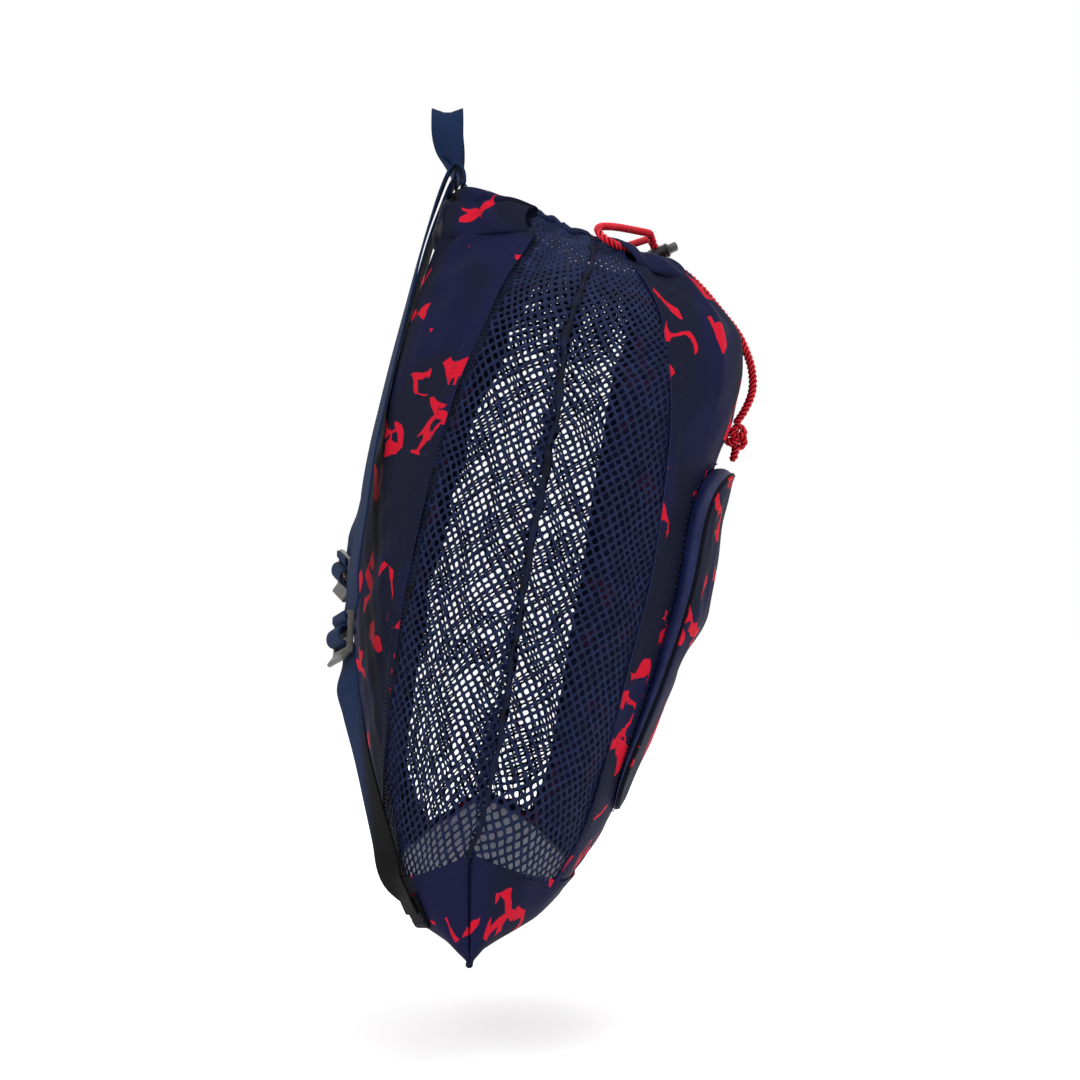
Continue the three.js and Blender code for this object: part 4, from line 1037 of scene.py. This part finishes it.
def add_gusset(angle, depth):
    part = np.linspace(0, 1, GUSSET_STEPS)[None, :]
    spot = ring_point(*pocket_place(angle, 1 + 0 * part))
    bow = (GUSSET_BOW + ripples(spot, (0.4, 40, 81))) * np.sin(PI * part)
    height = GUSSET_FOOT + (depth - GUSSET_SHORT) * part
    grid = lifted(*pocket_place(angle, 1 + bow / POCKET_HALF_WIDTH), height)
    band = make_piece("pocket_gusset_band", *shell(grid, -GUSSET_WALL, wrap=True), TRIM, ["pocket_gusset"])
    return band, grid


def add_piping(angle, depth):
    top = lifted(*pocket_place(angle, 1), depth + PIPING_LIFT)[:, 0]
    rings = round_tube(np.vstack([top, top[:2]]), PIPING_RADIUS)
    return make_piece("pocket_piping", *sweep(rings), BLACK)


def add_pocket_seam(angle):
    theta, v = pocket_place(angle, POCKET_SEAM_WIDER)
    height = POCKET_SEAM_LIFT - POCKET_SEAM_LOWER * smooth(POCKET_TOP, POCKET_BOTTOM, v)
    foot, out = lifted(theta, v, height)[:, 0], ring_normal(theta, v)[:, 0]
    return add_stitches("pocket", (closed(foot), closed(out)))


def closed_disc(grid, thickness):
    """A round cloth wall of rings that end in a small face at the middle."""
    points, faces = shell(grid, thickness, wrap=True)
    n, m = grid.shape[:2]
    keep = [f for f in faces.tolist() if not (f[0] % m == m - 1 and f[1] % m == m - 1)]
    last = np.arange(n) * m + m - 1
    return points, keep + [last[::-1].tolist(), (last + n * m).tolist()]


def add_pocket():
    angle = pocket_angles()
    depth = gusset_depth(pocket_place(angle, 1)[1])
    band, grid = add_gusset(angle, depth)
    piping = add_piping(angle, depth)
    add_pocket_seam(angle)

    radius = np.linspace(1, POCKET_CENTRE, POCKET_RINGS)[None, :]
    theta, v = pocket_place(angle, radius)
    wrinkle = ripples(ring_point(theta, v), (0.7, 42, 91), (0.3, 18, 92)) * smooth(1.0, 0.9, radius)
    stand = pocket_stand(v)
    grid = lifted(theta, v, stand + (depth + POCKET_OVER - stand) * radius ** POCKET_EDGE + wrinkle)
    front = make_piece("pocket_front_cloth", *closed_disc(grid, CLOTH), PRINT, ["pocket_front"])


add_pocket()

# Webbing: places, turn of the width in degrees, and its lean where it has one
RIBBON_STEPS = 7
LOOP_WIDTH, STRAP_WIDTH = 20, 25
LOOP_ROUTE = [
    [0, .6, -54, 0], [0, -2.6, -47, 0], [-1, -3.4, -41, 4], [-3, -2.6, -33, 24], [-6, -1, -22, 62],
    [-8, 0, -12, 84], [-7.4, 0, -4.6, 90], [-4.4, 0, -.4, 90], [0, 0, .8, 90], [4.4, 0, -.4, 90],
    [7.4, 0, -4.6, 90], [8, 0, -12, 96], [6, -2, -22, 118], [3, -5, -33, 156], [1, -6, -41, 176],
    [0, -5.4, -45, 180]]
SADDLE_HIGH, SADDLE_TALL, SADDLE_CURVE = 3.5, 16, 1.2
# The lower straps' painted shadow slants across them
SHADOW_SLANT = 0.34  # how much further along a strap its shade starts on one edge, in strap lengths


def ribbon_frames(rows):
    table = route([[*row, 0, 0][:5] for row in rows], RIBBON_STEPS)
    place, turn, lean = table[:, :3], np.radians(table[:, 3]), table[:, 4]
    tangent = unit(np.gradient(place, axis=0))
    side = np.stack([np.cos(turn), np.sin(turn), lean], -1)
    side = unit(side - tangent * (side * tangent).sum(-1, keepdims=True))
    return place, side, np.cross(tangent, side)


def ribbon_outline(width, thickness):
    x = np.array([-0.5, -0.485, -0.3, -0.1, 0.1, 0.3, 0.485, 0.5]) * width
    y = np.array([0, 0.85, 1, 1, 1, 1, 0.85, 0]) * thickness / 2
    return np.vstack([np.stack([x, y], -1), np.stack([x, -y], -1)[-2:0:-1]])


def add_ribbon(name, rows, width, shift=None, painted_shadow_end=None):
    """A strip of navy webbing along a route; a painted shadow may grow towards its far end."""
    place, side, out = ribbon_frames(rows)
    outline = ribbon_outline(width, WEBBING)
    rings = place[:, None] + side[:, None] * outline[:, :1] + out[:, None] * outline[:, 1:]
    if shift is not None:
        rings = rings + shift(place[:, None], outline[None])
    far = lengths(place)[:, None]
    long = float(far[-1, 0])
    uv = np.stack(np.broadcast_arrays(outline[:, 0], far), -1).reshape(-1, 2)
    shade = 0 * rings[..., 0]
    if painted_shadow_end:
        shade = shade + smooth(*painted_shadow_end, far / long - SHADOW_SLANT * outline[:, 0] / width)
    obj = make_piece(f"{name}_webbing", *sweep(rings), NAVY, [name], uv=uv, shade=shade)


def loop_saddle(place, outline):
    """The loop's edges stand above its middle where it hangs."""
    beside = np.abs(outline[..., 0] / (LOOP_WIDTH / 2))
    rise = SADDLE_HIGH * np.clip(1 + place[..., 2] / SADDLE_TALL, 0, 1) * beside ** SADDLE_CURVE
    return np.stack([0 * rise, 0 * rise, rise], -1)


add_ribbon("grab_loop", LOOP_ROUTE, LOOP_WIDTH, shift=loop_saddle)

# Straps: the right one's start, which the left one mirrors, then each side's own route and ladder lock
# A ladder lock has a place, and its turn, roll and pitch in degrees
STRAP_START = np.array([
    [25.5, -11, -48.4, -8, -.1], [25.5, -10.6, -42, -8, -.06], [25.5, -8.6, -38, -7, 0],
    [25.5, -5.2, -36.8, -6, 0], [25.5, -1.8, -41, -3, 0]])
STRAPS = {
    "left": {
        "mirror": -1, "buckle": ((-89, 58.5, -329), 22, -12, 6),
        "upper": [[-26, 3.6, -54, 2], [-28, 9.6, -72, 4], [-34, 16.2, -96, 6], [-42, 23, -126, 9],
                  [-50, 30, -156, 11], [-58, 36.6, -186, 12], [-67, 43, -218, 13], [-75, 48, -255, 15],
                  [-81, 53, -289, 17]],
        "lower": [[-95.5, 55.4, -360, 35], [-98, 52.2, -374, 33], [-103, 46.6, -398, 27],
                  [-109, 39, -428, 29], [-114, 33.4, -448, 33], [-118, 28.6, -466, 37]]},
    "right": {
        "mirror": 1, "buckle": ((88, 73, -294), 18, 12, 0),
        "upper": [[26, 3.8, -54, -2], [28, 10.4, -72, -4], [34, 18, -96, -5], [42, 27, -126, -6],
                  [50, 36.4, -156, -7], [58, 44.6, -182, -7], [68, 52.8, -210, -4], [76, 60, -238, 3],
                  [80.4, 63.6, -257, 10]],
        "lower": [[94, 68, -332, 8], [99, 61.4, -364, -9], [105, 52, -402, -22], [111, 41, -434, -31],
                  [114, 35, -448, -34], [118, 28.8, -466, -37]]},
}
# Route of a strap in its buckle's own frame: along the strap, out of its face
UPPER_IN_BUCKLE = [[24, -4.6], [18, -4], [12.5, -3.5], [9.3, -3.3], [7.6, -1.6], [7.3, 0], [7.6, 1.6],
                   [9.2, 3.1], [11, 3.3], [13.2, 3.2]]
LOWER_IN_BUCKLE = [[-.6, -3.4], [1.6, -3.4], [3.6, -2.3], [4.5, .4], [4.7, 3], [3.4, 5.4], [0, 6.6],
                   [-3.6, 5.8], [-5.4, 3.4], [-5.4, 0], [-6.4, -2.8], [-9.6, -3.8], [-16, -4]]
# Painted shadow down each lower strap, from and to these parts of its length, starting sooner on one edge
STRAP_PAINTED_SHADOW = (0.42, 0.66)
TAB_WIDTH, TAB_TALL, TAB_THICK = 27, 20, 3
TAB_THETA, TAB_ROW = 0.66, 10.62
TAB_STEPS, TAB_SQUARE, TAB_TIP = 15, 8, 0.05
TAB_PARTS = (-.6, -.3, 0)  # where the lower strap ends, in heights of the tab from its middle
TAB_CLEAR, THREAD_LIFT, THREAD_INSET, THREAD_FOOT, THREAD_START = 0.4, 0.1, 2.5, 3, 2
# Crossbars of a ladder lock: place along it, width and thickness; then its sides and its turned lip
LOCK_TOP, LOCK_LOW = 11.5, -10.2
LOCK_CROSSBARS = [(LOCK_TOP, 4, 4), (0, 4, 3.6), (LOCK_LOW, 4.6, 4)]
LOCK_HALF, LOCK_SIDE, LOCK_SIDE_WIDE, LOCK_THICK = 14, 14.2, 2.6, 4
LIP_WIDE, LIP_THICK, LIP_OUT, LIP_PLACE = 8, 3, 3, (0, -11, 0.6)
LIP_TURN = math.radians(-35)
BAR_SIDES, BAR_STEPS, BAR_SQUARE, BAR_OVER = 16, 12, 0.45, 1.3
FUSE_SIZE, SOFTEN_FACTOR, SOFTEN_TIMES = 0.55, 0.5, 5


def bar(start, end, width, thickness):
    """A rounded bar between two points of a buckle's frame, given across and along it."""
    start, end = np.array([*start, 0.0]), np.array([*end, 0.0])
    along = unit(end - start)
    out = np.array([0, 0, 1.0])
    turn = turns(BAR_SIDES)[:, None]
    u = signed_power(np.cos(turn), BAR_SQUARE) * width / 2
    w = signed_power(np.sin(turn), BAR_SQUARE) * thickness / 2
    line = np.linspace(start - along * BAR_OVER, end + along * BAR_OVER, BAR_STEPS)
    return sweep(line[:, None] + np.cross(out, along) * u + out * w)


def buckle_shape():
    parts = [bar((-LOCK_HALF, y), (LOCK_HALF, y), wide, thick) for y, wide, thick in LOCK_CROSSBARS]
    for x in (-LOCK_SIDE, LOCK_SIDE):
        parts.append(bar((x, LOCK_TOP), (x, LOCK_LOW), LOCK_SIDE_WIDE, LOCK_THICK))
    lip, faces = bar((-LOCK_SIDE, 0), (LOCK_SIDE, 0), LIP_WIDE, LIP_THICK)
    x, y, z = (lip - (0, LIP_OUT, 0)).T
    c, s = math.cos(LIP_TURN), math.sin(LIP_TURN)
    lip = np.stack([x, c * y - s * z, s * y + c * z], -1) + LIP_PLACE
    return joined([*parts, (lip, faces)])


def add_buckle(name, place, across, up, out):
    """A ladder lock: bars fused into one body with soft edges."""
    points, faces = buckle_shape()
    points = place + points[:, :1] * -across + points[:, 1:2] * up + points[:, 2:] * out
    lock = make_piece(f"{name}_lock", points, faces, PLASTIC_GREY, [name])
    remesh = lock.modifiers.new("fuse", "REMESH")
    remesh.mode = "VOXEL"
    remesh.voxel_size = FUSE_SIZE * MM
    relax = lock.modifiers.new("soften", "SMOOTH")
    relax.factor, relax.iterations = SOFTEN_FACTOR, SOFTEN_TIMES
    apply_modifiers(lock)
    lock.data.shade_smooth()


def add_strap(name, mirror, buckle, upper, lower):
    place, degrees = np.array(buckle[0], float), buckle[1]
    turn, roll, pitch = np.radians(buckle[1:])
    across = unit(np.array([math.cos(turn), math.sin(turn), math.tan(roll)]))
    level = np.array([-math.sin(turn), math.cos(turn), 0])
    out = level * math.cos(pitch) + np.cross(across, level) * math.sin(pitch)
    up = np.cross(across, out)

    def in_buckle(rows):
        return [[*(place + out * clear + up * along), degrees, math.tan(roll)] for along, clear in rows]

    rows = [*(STRAP_START * (mirror, 1, 1, mirror, mirror)), *upper, *in_buckle(UPPER_IN_BUCKLE)]
    add_ribbon(f"strap_{name}_upper", rows, STRAP_WIDTH)
    add_buckle(f"buckle_{name}", place, across, up, out)

    anchor = (BACK - mirror * (BACK - TAB_THETA), TAB_ROW)
    spot, normal, side = ring_point(*anchor), ring_normal(*anchor), unit(along_ring(*anchor))
    down = np.cross(side, normal)
    tab_turn = [math.degrees(math.atan2(-side[1], -side[0])), -side[2] / math.hypot(side[0], side[1])]
    over_tab = spot + normal * (TAB_THICK + TAB_CLEAR + WEBBING / 2)
    on_tab = [[*(over_tab + down * part * TAB_TALL), *tab_turn] for part in TAB_PARTS]
    rows = [*in_buckle(LOWER_IN_BUCKLE), *lower, *on_tab]
    add_ribbon(f"strap_{name}_lower", rows, STRAP_WIDTH, painted_shadow_end=STRAP_PAINTED_SHADOW)
    add_anchor(f"anchor_{name}", spot, normal, side, down)


def add_anchor(name, spot, normal, side, down):
    """A folded tab of webbing with stitches round three of its sides."""
    outline = ribbon_outline(TAB_WIDTH, TAB_THICK)
    part = np.linspace(-0.5, 0.5, TAB_STEPS)
    swell = np.sqrt(np.clip(1 - (2 * part) ** TAB_SQUARE, TAB_TIP, 1))
    centre = spot + normal * TAB_THICK / 2 + part[:, None] * down * TAB_TALL
    rings = centre[:, None] + side * outline[:, :1] + normal * (outline[None, :, 1:] * swell[:, None, None])
    uv = np.stack(np.broadcast_arrays(outline[:, 0], (part * TAB_TALL)[:, None]), -1)
    tab = make_piece(f"{name}_tab", *sweep(rings), BLACK, [name], uv=uv.reshape(-1, 2))
    x, y = TAB_WIDTH / 2 - THREAD_INSET, TAB_TALL / 2 - THREAD_FOOT
    corners = [(-x, THREAD_START), (-x, y), (x, y), (x, THREAD_START)]
    line = [spot + normal * (TAB_THICK + THREAD_LIFT) + side * a + down * b for a, b in corners]
    fine = spaced(np.array(line), 1.0)
    threads = add_stitches(name, (fine, np.broadcast_to(normal, fine.shape)))


for strap_name, strap in STRAPS.items():
    add_strap(strap_name, **strap)

# Stage: a pale floor below the hanging bag, a white room and soft lights
FLOOR_HALF, FLOOR_LOW = 30, -0.585
CORNERS = [(-1, -1), (1, -1), (1, 1), (-1, 1)]
floor_mesh = bpy.data.meshes.new("floor")
floor_mesh.from_pydata([(x * FLOOR_HALF, y * FLOOR_HALF, FLOOR_LOW) for x, y in CORNERS], [], [(0, 1, 2, 3)])
floor_mesh.materials.append(
    new_material("floor", Base_Color=linear("#ffffff"), Roughness=0.9, Specular_IOR_Level=0.0)[0])
floor = placed("floor", floor_mesh)

world = bpy.data.worlds.new("room")
world.use_nodes = True
background = world.node_tree.nodes["Background"]
background.inputs["Color"].default_value = (1, 1, 1, 1)
background.inputs["Strength"].default_value = 1.0
bpy.context.scene.world = world
bpy.context.scene.view_settings.view_transform = "Standard"

# Place, size and power of each lamp
LAMPS = {"key": ((-1.7, 1.0, 0.9), 1.2, 20), "fill": ((-1.2, -1.5, 0.3), 1.4, 6),
         "back": ((1.6, 0.4, 0.8), 1.2, 6), "top": ((-0.5, -0.7, 1.6), 1.6, 24)}
LAMP_AIM = Vector((0, -0.06, -0.26))
for lamp_name, (place, size, power) in LAMPS.items():
    lamp_data = bpy.data.lights.new(lamp_name, "AREA")
    lamp_data.size, lamp_data.energy = size, power
    lamp = placed(lamp_name, lamp_data)
    lamp.location = place
    lamp.rotation_euler = (LAMP_AIM - Vector(place)).to_track_quat("-Z", "Y").to_euler()
